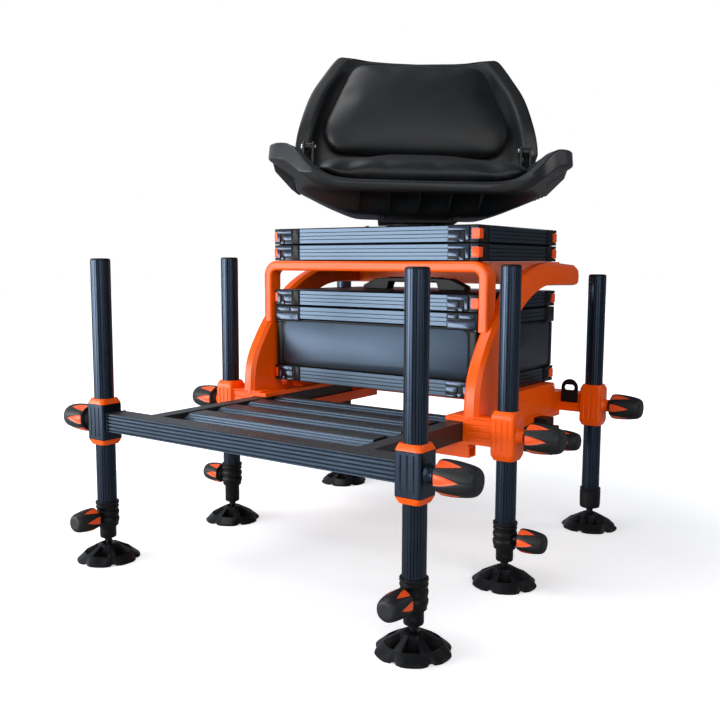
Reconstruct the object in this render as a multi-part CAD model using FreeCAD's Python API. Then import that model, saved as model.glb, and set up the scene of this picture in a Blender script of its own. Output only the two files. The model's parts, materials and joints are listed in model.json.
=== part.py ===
"""Fishing seat box: a welded frame on six telescopic legs, a sliding footplate,
a case that draws out forwards, two stacked trays and a swivel seat that folds.

Lengths are in millimetres, +Z is up and the footplate points to -Y.
Every place is measured from the axis of the swivel on the floor. The last
step moves the whole box along Y until the centre of its outline is at zero.
"""
import FreeCAD
import Part
import os
from math import cos, radians, sin

V = FreeCAD.Vector
AXES = {"x": V(1, 0, 0), "y": V(0, 1, 0), "z": V(0, 0, 1)}

# Clearances
running = 0.05          # radial play of a tube in its clamp and of a screw in its hole
slide_gap = 0.6         # play of the footplate's rails in the frame's rails
part_gap = 0.3          # between pieces of different bodies that rest on each other

# Legs
leg_radius = 18.0
leg_wall = 2.0
frame_leg_x = 327.5
plate_leg_x = 341.0
front_leg_y = -221.0
rear_leg_y = 188.5
plate_leg_y = -543.5
leg_top = {
    "plate_leg_left": 562.0, "plate_leg_right": 551.0,
    "front_leg_left": 566.0, "front_leg_right": 554.0,
    "rear_leg_left": 534.0, "rear_leg_right": 534.0,
}
leg_raise = {"front_leg_left": 14.0}    # how much further this inner leg is drawn out
cap_height = 4.0
collar_bottom = 64.0
collar_height = 48.0
collar_radius = 21.5
inner_radius = leg_radius - leg_wall - 0.8     # slides in the leg with 0.8 mm of play
inner_wall = 1.8
inner_bottom = 41.0
inner_top = 300.0
ferrule_bottom = 44.0
ferrule_height = 42.0
ferrule_radius = 21.5
stem_radius = 5.0
ball_radius = 9.0
ball_height = 18.0
foot_radius = 57.7
foot_height = 31.0
foot_rim = 8.0
foot_hub = 19.0
foot_notch = 5.5
foot_ribs = 6
foot_tilt = 18.0

# Clamps on the legs
clamp_height = 265.0    # middle of every clamp above the floor
clamp_width = 44.6
clamp_body = 66.0
clamp_end = 10.0        # length of each tapered end collar
clamp_end_width = 38.4
boss_length = 12.0
boss_radius = 13.0
screw_radius = 4.0
clamp_knob_length = 68.0
clamp_knob_radius = 26.0
collar_knob_length = 50.0
collar_knob_radius = 21.0
collar_screw_radius = 3.0
collar_boss_reach = 25.0
collar_boss_radius = 8.5
knob_gap = 1.0          # between a knob's inner face and its boss

# Frame
rail_outer_x = 260.0
rail_wall = 4.0
rail_bottom = 238.0
rail_top = 290.0
module_half_width = 238.6
ledge_inner_x = module_half_width - 12.6     # the case rests on this much of the ledge
ledge_outer_x = 257.5
ledge_front_y = -103.0
ledge_rear_y = 149.0
stub_width = 32.0
stub_bottom = 243.0
rear_beam_bottom = 248.0
front_beam_height = 20.0
front_beam_width = 26.0
groove_depth = 1.2
groove_width = 2.4
arch_inner_x = 250.0
arch_width = 22.0
arch_flange = 6.0
arch_web = 8.0
hoop_half_width = 265.0
hoop_tube = 20.0
hoop_depth = 34.0
hoop_front_y = -182.5
hoop_top = 563.0
hoop_corner = 32.0
top_beam_y = 156.0
top_beam_width = 32.0
top_beam_bottom = 515.0

# Footplate
plate_bottom = 248.5
plate_top = 281.0
plate_front_y = plate_leg_y - 14.0     # the rail runs on to its two leg clamps
plate_front_width = 44.0
plate_rail_outer_x = 248.0
plate_rail_width = 30.0
plate_rail_rear_y = 75.0
plate_wall = 2.5
slat_count = 3
slat_width = 58.0
slat_pitch = 82.0
slat_thickness = 13.5
slat_half_length = 208.0
first_slat_y = -473.5
end_slat_width = 36.0
slat_ledge = 4.2
plate_out = 120.0
plate_in = 90.0
lock_y = 58.0
lock_width = 34.0
lock_outer_x = 300.0
lock_bottom = 178.0
lock_screw_height = 208.0

# Case and trays
module_half_depth = 171.3
module_height = 33.0
module_wall = 3.0
case_bottom = 311.0
case_top = 503.4
corner_clip = 53.0
corner_clip_depth = 34.0
corner_clip_stand = 1.6
latch_stand = 3.6
latch_height = 19.0
latch_reach = 12.6      # along the front and along the side of its corner
latch_travel = 3.0
corner_post = 19.0      # solid corner inside a module, so that a latch pocket is blind
case_out = 340.0
lid_open = 50.0
handle_half_length = 126.0
handle_foot = 62.0
handle_width = 26.0
handle_top = 530.0

# Seat
seat_turn = 34.0        # how far the seat is turned from straight ahead
bearing_radius = 62.0
swivel_hub_radius = 20.0
swivel_base_height = 10.0
swivel_plate_height = 6.0
hinge_forward = -105.0
hinge_height = 808.0
hinge_half_width = 239.0
pin_radius = 4.0
cushion_levels = (      # outward growth, height at the rear and at the front of each level
    (-22, 715.3, 710.3), (-3, 731, 718), (0, 747, 723), (-12, 762, 729), (-60, 771, 741),
)
back_thickness = 8.0
back_lean = 0.34
cushion_foot = -160.05


def box(x0, x1, y0, y1, z0, z1):
    """A block between two corners, given in any order."""
    lo = V(min(x0, x1), min(y0, y1), min(z0, z1))
    return Part.makeBox(abs(x1 - x0), abs(y1 - y0), abs(z1 - z0), lo)


def rod(radius, start, end):
    """A cylinder from one point to another."""
    line = end - start
    return Part.makeCylinder(radius, line.Length, start, line)


def polygon(points):
    """A face whose outline runs through the points."""
    return Part.Face(Part.makePolygon(list(points) + [points[0]]))


def arc(a, b, c):
    return Part.Arc(a, b, c).toShape()


def line(a, b):
    return Part.makeLine(a, b)


def joined(shapes):
    shapes = list(shapes)
    whole = shapes[0].multiFuse(shapes[1:]) if len(shapes) > 1 else shapes[0]
    return whole.removeSplitter()


def solid_of(shape):
    """The one solid of a shape that a cut or a fuse returned as a compound."""
    return shape.Solids[0] if len(shape.Solids) == 1 else shape


def group(shapes):
    """Separate solids kept together in one node."""
    solids = [s for shape in shapes for s in shape.Solids]
    return solids[0] if len(solids) == 1 else Part.makeCompound(solids)


def skinned(rings, closed=False, crossed=()):
    """A solid with flat facets between rings that have the same number of points.

    crossed lists the bands whose facets are split along their other diagonal.
    """
    faces = [] if closed else [polygon(rings[0]), polygon(rings[-1])]
    pairs = list(zip(rings, rings[1:] + rings[:1])) if closed else list(zip(rings, rings[1:]))
    for band, (lower, upper) in enumerate(pairs):
        for i in range(len(lower)):
            j = (i + 1) % len(lower)
            triangles = [(lower[i], lower[j], upper[j]), (lower[i], upper[j], upper[i])]
            if band in crossed:
                triangles = [(lower[i], lower[j], upper[i]), (lower[j], upper[j], upper[i])]
            for corners in triangles:
                sides = [(corners[k] - corners[k - 1]).Length for k in range(3)]
                if min(sides) > 0.001:
                    faces.append(polygon(corners))
    shell = Part.Shell(faces)
    shell.sewShape()
    solid = Part.Solid(shell)
    return solid if solid.Volume > 0 else solid.reversed()


def ring_points(radius, count, height):
    """Points round a vertical axis at one height."""
    step = radians(360 / count)
    return [V(radius * cos(i * step), radius * sin(i * step), height) for i in range(count)]


def mirrored(shape):
    """The left-hand twin of a right-hand piece."""
    return shape.mirror(V(0, 0, 0), V(1, 0, 0))


def on_side(shape, side):
    return shape if side > 0 else mirrored(shape)


def spread(count, pitch):
    """Positions of a row that is centred on zero."""
    return [(i - (count - 1) / 2) * pitch for i in range(count)]


# Legs

def prism(radius, count, low, high):
    """An upright prism with flat sides."""
    return skinned([ring_points(radius, count, low), ring_points(radius, count, high)])


def leg_tube(bottom, top):
    """A round tube whose bore has flats for the inner leg to run on."""
    tube = rod(leg_radius, V(0, 0, bottom), V(0, 0, top))
    return tube.cut(prism(leg_radius - leg_wall + 0.2, 12, bottom - 1, top + 1))


def leg_cap(top):
    """The cap that closes the top of a leg."""
    return rod(leg_radius - 0.4, V(0, 0, top), V(0, 0, top + cap_height))


def collar(bottom, direction):
    """The clamp at the foot of an outer tube, with a boss for its screw."""
    top = bottom + collar_height
    body = rod(collar_radius, V(0, 0, bottom), V(0, 0, top))
    height = bottom + collar_height / 2 - 4
    half = collar_boss_radius
    boss = box(inner_radius, collar_boss_reach, -half, half, height - half, height + half)
    hole = rod(collar_screw_radius + running, V(0, 0, height), V(collar_boss_reach + 5, 0, height))
    body = body.fuse(boss).cut(hole)
    body = body.cut(rod(inner_radius + running, V(0, 0, bottom - 1), V(0, 0, top + 1)))
    body.rotate(V(0, 0, 0), AXES["z"], quarter_turn(direction))
    return solid_of(body)


def quarter_turn(direction):
    """The turn about Z that takes +X to a direction along X or Y."""
    return {(1, 0): 0, (-1, 0): 180, (0, -1): -90}[(round(direction.x), round(direction.y))]


def ball(height):
    """The ball at the end of a leg, with flat facets."""
    levels = (-70, -35, 0, 35, 70)
    return skinned([ring_points(ball_radius * cos(radians(a)), 10, height + ball_radius * sin(radians(a)))
                    for a in levels])


def ball_stem(sleeve_bottom):
    return rod(stem_radius, V(0, 0, ball_height), V(0, 0, sleeve_bottom + 1)).fuse(ball(ball_height))


def inner_leg():
    """The telescopic tube with a solid end that carries the ball."""
    tube = rod(inner_radius, V(0, 0, inner_bottom), V(0, 0, inner_top))
    tube = tube.cut(prism(inner_radius - inner_wall, 12, inner_bottom + 20, inner_top + 1))
    return solid_of(tube.fuse(ball_stem(inner_bottom)).removeSplitter())


def outer_leg(name, direction):
    bottom = collar_bottom + leg_raise.get(name, 0.0)
    tube = leg_tube(bottom + collar_height, leg_top[name])
    return group([tube, leg_cap(leg_top[name]), collar(bottom, direction)])


def plain_leg(name):
    """A rear leg: one tube on a ferrule that carries the ball."""
    top = ferrule_bottom + ferrule_height
    ferrule = rod(ferrule_radius, V(0, 0, ferrule_bottom), V(0, 0, top))
    ferrule = solid_of(ferrule.fuse(ball_stem(ferrule_bottom)).removeSplitter())
    return group([leg_tube(top, leg_top[name]), leg_cap(leg_top[name]), ferrule])


def foot_outline(rim, height):
    """One level of the scalloped foot: a notch lies between each pair of lobes."""
    points = []
    step = 360 / foot_ribs
    for i in range(foot_ribs):
        for turn, share in ((-23, 1), (0, 1), (23, 1), (30, 0)):
            a = radians(i * step + turn)
            r = rim if share else max(rim - foot_notch, foot_hub)
            points.append(V(r * cos(a), r * sin(a), height))
    return points


def foot():
    """A mud foot: a low cone with deep pockets between its ribs and a socket for the ball."""
    levels = [(foot_radius - 4.0, 0), (foot_radius, foot_rim * 0.6), (foot_hub, foot_height)]
    body = skinned([foot_outline(r, z) for r, z in levels])
    floor = 6.5
    step = 360 / foot_ribs
    for i in range(foot_ribs):
        far = foot_radius - 12.0
        reach = far * sin(radians(step / 2)) - 6.5
        wedge = polygon([V(foot_hub + 3, 0, floor), V(far, -reach, floor), V(far + 4, 0, floor),
                         V(far, reach, floor)])
        pocket = wedge.extrude(V(0, 0, foot_height))
        pocket.rotate(V(0, 0, 0), AXES["z"], i * step)
        body = body.cut(pocket)
    low = ball_height - ball_radius - running
    lip = ball_height + 5.0
    body = body.cut(rod(ball_radius + running, V(0, 0, low), V(0, 0, lip)))
    body = body.cut(rod(ball_radius - 1.2, V(0, 0, lip - 1), V(0, 0, lip + 1.5)))
    mouth = skinned([ring_points(ball_radius - 0.4, 12, lip + 1.2), ring_points(ball_radius + 3.8, 12, foot_height + 1)])
    return solid_of(body.cut(mouth))


# Clamps and knobs

def square(width, height):
    h = width / 2
    return [V(-h, -h, height), V(h, -h, height), V(h, h, height), V(-h, h, height)]


def clamp_block(side):
    """A clamp body round a leg with the boss for its screw."""
    half = clamp_width / 2
    low = clamp_height - clamp_body / 2
    high = clamp_height + clamp_body / 2
    body = box(-half, half, -half, half, low, high)
    centre = V(0, 0, clamp_height)
    tip = V(side * (half + boss_length), 0, clamp_height)
    boss = prism(boss_radius, 8, half - 1, half + boss_length)
    boss.rotate(V(0, 0, 0), AXES["y"], side * 90)
    boss.translate(centre)
    body = body.fuse(boss)
    body = body.cut(rod(leg_radius + running, V(0, 0, low - 1), V(0, 0, high + 1)))
    return solid_of(body.cut(rod(screw_radius + running, centre, tip + V(side, 0, 0))))


def whole_clamp(side):
    """A frame clamp: body and end collars in one casting."""
    return solid_of(joined([clamp_block(side), clamp_end_collar(-1), clamp_end_collar(1)]))


def clamp_end_collar(up):
    """The tapered end collar above or below a clamp body."""
    base = clamp_height + up * clamp_body / 2
    end = base + up * clamp_end
    rings = [square(clamp_width, base), square(clamp_width, base + up * 2), square(clamp_end_width, end)]
    bore = rod(leg_radius + running, V(0, 0, min(base, end) - 1), V(0, 0, max(base, end) + 1))
    return solid_of(skinned(rings).cut(bore))


def knob(length, radius, screw, screw_length):
    """A knob on its screw along +X; the screw's far end is at minus screw_length."""
    levels = [(knob_gap, 0.84), (length * 0.16, 1.0), (length * 0.6, 0.9), (length, 0.5)]
    rings = []
    for x, share in levels:
        rings.append([V(x, p.x, p.y) for p in ring_points(radius * share, 12, 0)])
    shaft = rod(screw, V(-screw_length, 0, 0), V(knob_gap + 1, 0, 0))
    return solid_of(skinned(rings).fuse(shaft).removeSplitter())


def clamp_knob(side):
    start = clamp_width / 2 + boss_length
    screw_length = start - leg_radius - part_gap
    body = knob(clamp_knob_length, clamp_knob_radius, screw_radius, screw_length)
    body.translate(V(start, 0, clamp_height))
    return on_side(body, side)


def collar_knob(name, direction):
    screw_length = collar_boss_reach - inner_radius - part_gap
    body = knob(collar_knob_length, collar_knob_radius, collar_screw_radius, screw_length)
    height = collar_bottom + leg_raise.get(name, 0.0) + collar_height / 2 - 4
    body.translate(V(collar_boss_reach, 0, height))
    body.rotate(V(0, 0, 0), AXES["z"], quarter_turn(direction))
    return body


# Frame

def grooved(body, axis, span, faces, positions, across):
    """Cuts shallow grooves along a bar. faces are the places of the grooved sides."""
    for face in faces:
        for p in positions:
            depth = (face - groove_depth, face + groove_depth)
            width = (p - groove_width / 2, p + groove_width / 2)
            ranges = {axis: span, across[0]: depth, across[1]: width}
            body = body.cut(box(*ranges["x"], *ranges["y"], *ranges["z"]))
    return body


def side_rail():
    """A rail that is open on its inner side, so that the footplate's rail slides in it."""
    front = front_leg_y - stub_width / 2
    rear = rear_leg_y - stub_width / 2
    inner_wall_x = plate_rail_outer_x - plate_rail_width - slide_gap
    cavity = box(inner_wall_x, plate_rail_outer_x + slide_gap, front - 1, rear + 1,
                 plate_bottom - 1.5 - slide_gap, plate_top + slide_gap)
    body = box(inner_wall_x - rail_wall, rail_outer_x, front, rear, rail_bottom, rail_top)
    slot = box(inner_wall_x - rail_wall - 1, inner_wall_x + 1, front - 1, rear + 1,
               plate_top - slat_thickness - slat_ledge - 4, plate_top + slide_gap)
    ledge = box(ledge_inner_x, ledge_outer_x, ledge_front_y, ledge_rear_y, rail_top - 1, case_bottom - part_gap)
    corner = polygon([V(0, ledge_rear_y + 1, rail_top + 12), V(0, ledge_rear_y + 1, case_bottom + 1),
                      V(0, ledge_rear_y - 8, case_bottom + 1)]).extrude(V(rail_outer_x, 0, 0))
    body = body.cut(cavity).cut(slot).fuse(ledge).cut(corner)
    body = grooved(body, "y", (front - 1, rear + 1), [rail_outer_x], [rail_bottom + 14], ("x", "z"))
    return solid_of(body.removeSplitter())


def stub_arm():
    inner = rail_outer_x
    outer = frame_leg_x - clamp_width / 2
    low, high = front_leg_y - stub_width / 2, front_leg_y + stub_width / 2
    body = box(inner, outer, low, high, stub_bottom, rail_top)
    body = body.cut(box(inner - 1, outer + 1, low + rail_wall, high - rail_wall,
                        stub_bottom + rail_wall, rail_top - rail_wall))
    middle = (stub_bottom + rail_top) / 2
    rows = [middle + p for p in spread(3, 11.0)]
    return solid_of(grooved(body, "x", (inner - 1, outer + 1), [low, high], rows, ("y", "z")))


def rear_cross_beam():
    outer = frame_leg_x - clamp_width / 2
    low, high = rear_leg_y - stub_width / 2, rear_leg_y + stub_width / 2
    body = box(-outer, outer, low, high, rear_beam_bottom, rail_top - 1)
    body = body.cut(box(-outer - 1, outer + 1, low + rail_wall, high - rail_wall,
                        rear_beam_bottom + rail_wall, rail_top - 1 - rail_wall))
    middle = (rear_beam_bottom + rail_top) / 2
    rows = [middle + p for p in spread(3, 11.0)]
    return solid_of(grooved(body, "x", (-outer - 1, outer + 1), [low, high], rows, ("y", "z")))


def front_cross_beam():
    """The open-ended tube under the front ends of the side rails."""
    half = rail_outer_x + 2
    low = front_leg_y - stub_width / 2
    high = low + front_beam_width
    body = box(-half, half, low, high, rail_bottom - front_beam_height, rail_bottom)
    hollow = box(-half - 1, half + 1, low + 3, high - 3, rail_bottom - front_beam_height + 3, rail_bottom - 3)
    return body.cut(hollow)


def arch_outline():
    """Outer and inner edges of an arch, from its base up and back to its handle."""
    def p(y, z):
        return V(0, y, z)
    base = rail_top
    outer = [
        line(p(-239.5, base), p(-238.5, 312)),
        arc(p(-238.5, 312), p(-232.5, 351), p(-211, 395)),
        arc(p(-211, 395), p(-169, 451), p(-112, 503)),
        arc(p(-112, 503), p(-72, 526), p(-32, 542)),
        arc(p(-32, 542), p(30, 558), p(90, 562)),
        line(p(90, 562), p(212, 556)),
    ]
    end = [line(p(212, 556), p(212, 517))]
    inner = [
        line(p(212, 517), p(62, 518)),
        arc(p(62, 518), p(-16, 499), p(-69, 470)),
        arc(p(-69, 470), p(-112, 420), p(-122, 360)),
        line(p(-122, 360), p(-104, base)),
        line(p(-104, base), p(-239.5, base)),
    ]
    return outer, end, inner


def arch_profile(x0, x1):
    outer, end, inner = arch_outline()
    face = Part.Face(Part.Wire(outer + end + inner))
    body = face.extrude(V(x1 - x0, 0, 0))
    body.translate(V(x0, 0, 0))
    return body


def arch():
    """A side arch: a curved front flange, a web behind it and a box-section handle."""
    middle = arch_inner_x + arch_width / 2 - 5
    web = arch_profile(middle - arch_web / 2, middle + arch_web / 2)
    full = arch_profile(arch_inner_x, arch_inner_x + arch_width)
    inset = arch_profile(arch_inner_x - 1, arch_inner_x + arch_width + 1)
    inset.translate(V(0, arch_flange, -arch_flange))
    handle_zone = box(arch_inner_x - 2, arch_inner_x + arch_width + 2, -20, 300, 440, 600)
    flange = full.cut(inset.cut(handle_zone))
    slot_low, slot_high = 322.0, 361.0
    slot_y = -143.0
    slot = polygon([V(0, slot_y, slot_low), V(0, slot_y + 16, slot_low + 4), V(0, slot_y + 10, slot_high),
                    V(0, slot_y - 8, slot_high - 8)]).extrude(V(400, 0, 0))
    ring = rod(11.0, V(0, -136, 300), V(400, -136, 300))
    web = web.cut(slot).cut(ring)
    foot_plate = box(ledge_inner_x, frame_leg_x - clamp_width / 2, -238.5, -205, rail_top, rail_top + 3)
    body = web.fuse(flange).fuse(foot_plate)
    return solid_of(body.removeSplitter())


def front_hoop():
    """The inverted U of flat-sided tube that stands on the two arches."""
    outer = hoop_half_width
    inner = outer - hoop_tube
    low = 400.0

    def arched(half, top, radius):
        corner = radius * (1 - cos(radians(45)))
        start = V(-half, 0, low)
        a, b = V(-half, 0, top - radius), V(-half + radius, 0, top)
        c, d = V(half - radius, 0, top), V(half, 0, top - radius)
        end = V(half, 0, low)
        edges = [
            line(start, a), arc(a, V(-half + corner, 0, top - corner), b), line(b, c),
            arc(c, V(half - corner, 0, top - corner), d), line(d, end), line(end, start),
        ]
        return Part.Face(Part.Wire(edges)).extrude(V(0, hoop_depth, 0))

    body = arched(outer, hoop_top, hoop_corner).cut(arched(inner, hoop_top - hoop_tube, hoop_corner - hoop_tube))
    body.translate(V(0, hoop_front_y, 0))
    keep_out = arch_profile(arch_inner_x - 30, arch_inner_x + arch_width + 30)
    below = box(arch_inner_x - 30, arch_inner_x + 60, -240, -100, low - 10, 432)
    keep_out = keep_out.fuse(below)
    body = body.cut(keep_out).cut(mirrored(keep_out))
    largest = max(body.Solids, key=lambda s: s.Volume)
    return largest


def top_beam():
    half = top_beam_width / 2
    body = box(-arch_inner_x, arch_inner_x, top_beam_y - half, top_beam_y + half, top_beam_bottom, hoop_top)
    hollow = box(-arch_inner_x - 1, arch_inner_x + 1, top_beam_y - half + 3, top_beam_y + half - 3,
                 top_beam_bottom + 3, hoop_top - 3)
    return body.cut(hollow)


def strap_loop():
    """A tab with an oval eye on the front of the rear beam, beside the right clamp."""
    face = rear_leg_y - stub_width / 2
    x0, x1 = 264.0, 300.0
    middle = (x0 + x1) / 2
    radius = (x1 - x0) / 2
    eye_height = 299.0
    plate = box(x0, x1, face - 5, face, 268, eye_height)
    crown = rod(radius, V(middle, face - 5, eye_height), V(middle, face, eye_height))
    eye = rod(6.0, V(middle - 5, face - 6, eye_height), V(middle - 5, face + 1, eye_height))
    eye2 = rod(6.0, V(middle + 5, face - 6, eye_height), V(middle + 5, face + 1, eye_height))
    bridge = box(middle - 5, middle + 5, face - 6, face + 1, eye_height - 6, eye_height + 6)
    return solid_of(plate.fuse(crown).removeSplitter().cut(eye.fuse(eye2).fuse(bridge)))


def lock_block():
    """The housing under a side rail whose screw grips the footplate's rail."""
    low, high = lock_y - lock_width / 2, lock_y + lock_width / 2
    body = box(ledge_inner_x - 4, rail_outer_x, low, high, lock_bottom, rail_bottom)
    cheek = box(rail_outer_x, lock_outer_x, low, high, lock_bottom, rail_bottom + 12)
    step = box(lock_outer_x - 12, lock_outer_x + 1, low - 1, high + 1, rail_bottom - 4, rail_bottom + 13)
    body = body.fuse(cheek).removeSplitter().cut(step)
    start = V(lock_outer_x + 5, lock_y, lock_screw_height)
    end = V(ledge_inner_x + 8, lock_y, lock_screw_height)
    return solid_of(body.cut(rod(screw_radius + running, start, end)))


def lock_knob():
    body = knob(collar_knob_length, collar_knob_radius, screw_radius, lock_outer_x - ledge_inner_x - 14)
    body.translate(V(lock_outer_x, lock_y, lock_screw_height))
    return body


# Footplate

def plate_front_rail():
    half = plate_leg_x - clamp_width / 2
    rear = plate_front_y + plate_front_width
    body = box(-half, half, plate_front_y, rear, plate_bottom, plate_top)
    body = body.cut(box(-half - 1, half + 1, plate_front_y + 3, rear - 3, plate_bottom + 3, plate_top - 3))
    middle = (plate_bottom + plate_top) / 2
    rows = [middle + p for p in spread(4, 7.2)]
    return solid_of(grooved(body, "x", (-half - 1, half + 1), [plate_front_y], rows, ("y", "z")))


def plate_side_rail():
    front = plate_front_y + plate_front_width
    low = plate_bottom - 1.5
    inner = plate_rail_outer_x - plate_rail_width
    body = box(inner, plate_rail_outer_x, front, plate_rail_rear_y, low, plate_top)
    hollow = box(inner + plate_wall, plate_rail_outer_x - plate_wall, front - 1, plate_rail_rear_y + 1,
                 low + plate_wall, plate_top - plate_wall)
    under_slat = plate_top - slat_thickness
    rear = first_slat_y + slat_count * slat_pitch + end_slat_width
    ledge = box(inner - 18, inner, front, rear, under_slat - slat_ledge, under_slat)
    return solid_of(body.cut(hollow).fuse(ledge).removeSplitter())


def slats():
    """The cross slats of the footplate and the wider-set bar that ends it."""
    low = plate_top - slat_thickness
    pieces = []
    for i in range(slat_count):
        y = first_slat_y + i * slat_pitch
        bar = box(-slat_half_length, slat_half_length, y, y + slat_width, low, plate_top - 0.5)
        rows = [low + slat_thickness * f for f in (0.3, 0.66)]
        bar = grooved(bar, "x", (-slat_half_length - 1, slat_half_length + 1), [y], rows, ("y", "z"))
        pieces.append(solid_of(bar))
    y = first_slat_y + slat_count * slat_pitch
    half = plate_rail_outer_x - plate_rail_width
    pieces.append(box(-half, half, y, y + end_slat_width, low, plate_top - 0.5))
    return group(pieces)


# Case and trays

def latch_body(sx, sy, height, grow=0.0, travel=0.0):
    """A press latch at a module's corner. grow and travel make the pocket that it moves in."""
    x0 = module_half_width - latch_reach - grow - travel
    x1 = module_half_width + latch_stand + grow
    y0 = module_half_depth - latch_reach - grow
    y1 = module_half_depth + corner_clip_stand + 0.4 + grow
    half = latch_height / 2 + grow
    return box(sx * x0, sx * x1, sy * y0, sy * y1, height - half, height + half)


def pocketed(body, height):
    """Cuts the pockets of the four corner latches."""
    for sx in (-1, 1):
        for sy in (-1, 1):
            body = body.cut(latch_body(sx, sy, height, part_gap, latch_travel))
    return body


def corner_clips(low, high):
    """Four corner pieces of a module, standing a little proud of its faces."""
    pieces = []
    outer_x = module_half_width + corner_clip_stand
    outer_y = module_half_depth + corner_clip_stand
    x = module_half_width - corner_clip
    y = module_half_depth - corner_clip_depth
    for sx in (-1, 1):
        for sy in (-1, 1):
            piece = box(sx * x, sx * outer_x, sy * y, sy * outer_y, low + 0.6, high - 0.6)
            core = box(sx * (x - 1), sx * module_half_width, sy * (y - 1), sy * module_half_depth, low, high)
            pieces.append(solid_of(pocketed(piece.cut(core), (low + high) / 2)))
    return pieces


def plain_clips(low, high):
    """Corner pieces with no latch, under the lid's."""
    pieces = []
    x = module_half_width - corner_clip
    y = module_half_depth - corner_clip_depth
    for sx in (-1, 1):
        for sy in (-1, 1):
            piece = box(sx * x, sx * (module_half_width + corner_clip_stand),
                        sy * y, sy * (module_half_depth + corner_clip_stand), low + 0.6, high - 0.6)
            core = box(sx * (x - 1), sx * module_half_width, sy * (y - 1), sy * module_half_depth, low, high)
            pieces.append(solid_of(piece.cut(core)))
    return pieces


def cavity(low, high):
    """The room inside a module, between its walls and round its four corner posts."""
    x = module_half_width - module_wall
    y = module_half_depth - module_wall
    room = box(-x, x, -y, y, low, high)
    for sx in (-1, 1):
        for sy in (-1, 1):
            room = room.cut(box(sx * (x + 1), sx * (module_half_width - corner_post), sy * (y + 1),
                                sy * (module_half_depth - corner_post + part_gap * 8), low - 1, high + 1))
    return room


def corner_fittings(low, high):
    """The corner pieces and the four fixed latches of a module that a latch of its own closes."""
    middle = (low + high) / 2
    return corner_clips(low, high) + [latch_body(sx, sy, middle) for sx in (-1, 1) for sy in (-1, 1)]


def ribbed_module(low, high, ribs):
    """The outer block of a tray, lid or case with grooves round its ribbed band."""
    body = box(-module_half_width, module_half_width, -module_half_depth, module_half_depth, low, high)
    reach_x = module_half_width - corner_clip
    reach_y = module_half_depth - corner_clip_depth
    for z in ribs:
        for sy in (-1, 1):
            y = sy * module_half_depth
            body = body.cut(box(-reach_x, reach_x, y - groove_depth, y + groove_depth,
                                z - groove_width / 2, z + groove_width / 2))
        for sx in (-1, 1):
            x = sx * module_half_width
            body = body.cut(box(x - groove_depth, x + groove_depth, -reach_y, reach_y,
                                z - groove_width / 2, z + groove_width / 2))
    return body


def band(low):
    return [low + module_height * f for f in (0.25, 0.5, 0.75)]


def tray(low):
    """An open tray with a thin floor."""
    high = low + module_height
    body = ribbed_module(low, high, band(low)).cut(cavity(low + 2, high + 1))
    return solid_of(pocketed(body, (low + high) / 2))


def covered_tray(low, top):
    """The top module: a lid with a hollow under it."""
    body = ribbed_module(low, top, band(low)).cut(cavity(low - 1, top - 4))
    return solid_of(pocketed(body, (low + top) / 2))


def case_body():
    high = case_top - module_height - part_gap
    lower = band(case_bottom - 4)
    upper = band(high - module_height)
    body = ribbed_module(case_bottom, high, lower + upper).cut(cavity(case_bottom + 3, high + 1))
    return solid_of(pocketed(body, case_bottom + module_height / 2))


def case_fittings():
    """Corner pieces of the case: latched at the foot, plain under the lid, and the lid's own."""
    high = case_top - module_height - part_gap
    pieces = corner_fittings(case_bottom, case_bottom + module_height)
    pieces += plain_clips(high - module_height, high)
    return group(pieces + corner_clips(case_top - module_height, case_top))


def case_lid():
    return covered_tray(case_top - module_height, case_top)


def case_handle():
    """A bridge handle with two feet on the lid."""
    half = handle_width / 2
    def p(x, z):
        return V(x, -half, z)
    base = case_top
    grip = 10.0
    left = -handle_half_length
    edges = [
        line(p(left, base), p(left, base + 9)),
        line(p(left, base + 9), p(left + 34, handle_top - 3)),
        arc(p(left + 34, handle_top - 3), p(0, handle_top), p(-left - 34, handle_top - 3)),
        line(p(-left - 34, handle_top - 3), p(-left, base + 9)),
        line(p(-left, base + 9), p(-left, base)),
        line(p(-left, base), p(-left - handle_foot, base)),
        line(p(-left - handle_foot, base), p(-left - handle_foot - 6, handle_top - grip)),
        line(p(-left - handle_foot - 6, handle_top - grip), p(left + handle_foot + 6, handle_top - grip)),
        line(p(left + handle_foot + 6, handle_top - grip), p(left + handle_foot, base)),
        line(p(left + handle_foot, base), p(left, base)),
    ]
    return Part.Face(Part.Wire(edges)).extrude(V(0, handle_width, 0))


def latches(heights, side):
    """The latches on one side: at the front and rear corner of each module."""
    return group([latch_body(side, sy, z) for z in heights for sy in (-1, 1)])


tray_bottom = hoop_top + part_gap
lid_bottom = tray_bottom + module_height + part_gap
lid_top = lid_bottom + module_height


# Seat, built facing -Y: s runs to its right side and d forwards

def swivel_base():
    """The fixed plate on the lid with its bearing ring."""
    plate = box(-88, 88, -72, 78, lid_top, lid_top + 4)
    ring = rod(bearing_radius, V(0, 0, lid_top + 4), V(0, 0, lid_top + swivel_base_height))
    bore = rod(swivel_hub_radius, V(0, 0, lid_top - 1), V(0, 0, lid_top + swivel_base_height + 1))
    return solid_of(plate.fuse(ring).cut(bore))


def swivel_plate():
    """The turning plate with its hub and the box post that carries the seat."""
    low = lid_top + swivel_base_height + part_gap
    plate = box(-80, 80, -80, 80, low, low + swivel_plate_height)
    hub = rod(swivel_hub_radius - running, V(0, 0, lid_top + 2), V(0, 0, low + 1))
    post_low = low + swivel_plate_height
    posts = box(-70, 70, -60, 60, post_low, pocket_high)
    hollow = box(-66, 66, -61, 61, post_low, pocket_high - 3)
    return solid_of(plate.fuse(hub).fuse(posts.cut(hollow)).removeSplitter())


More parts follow.
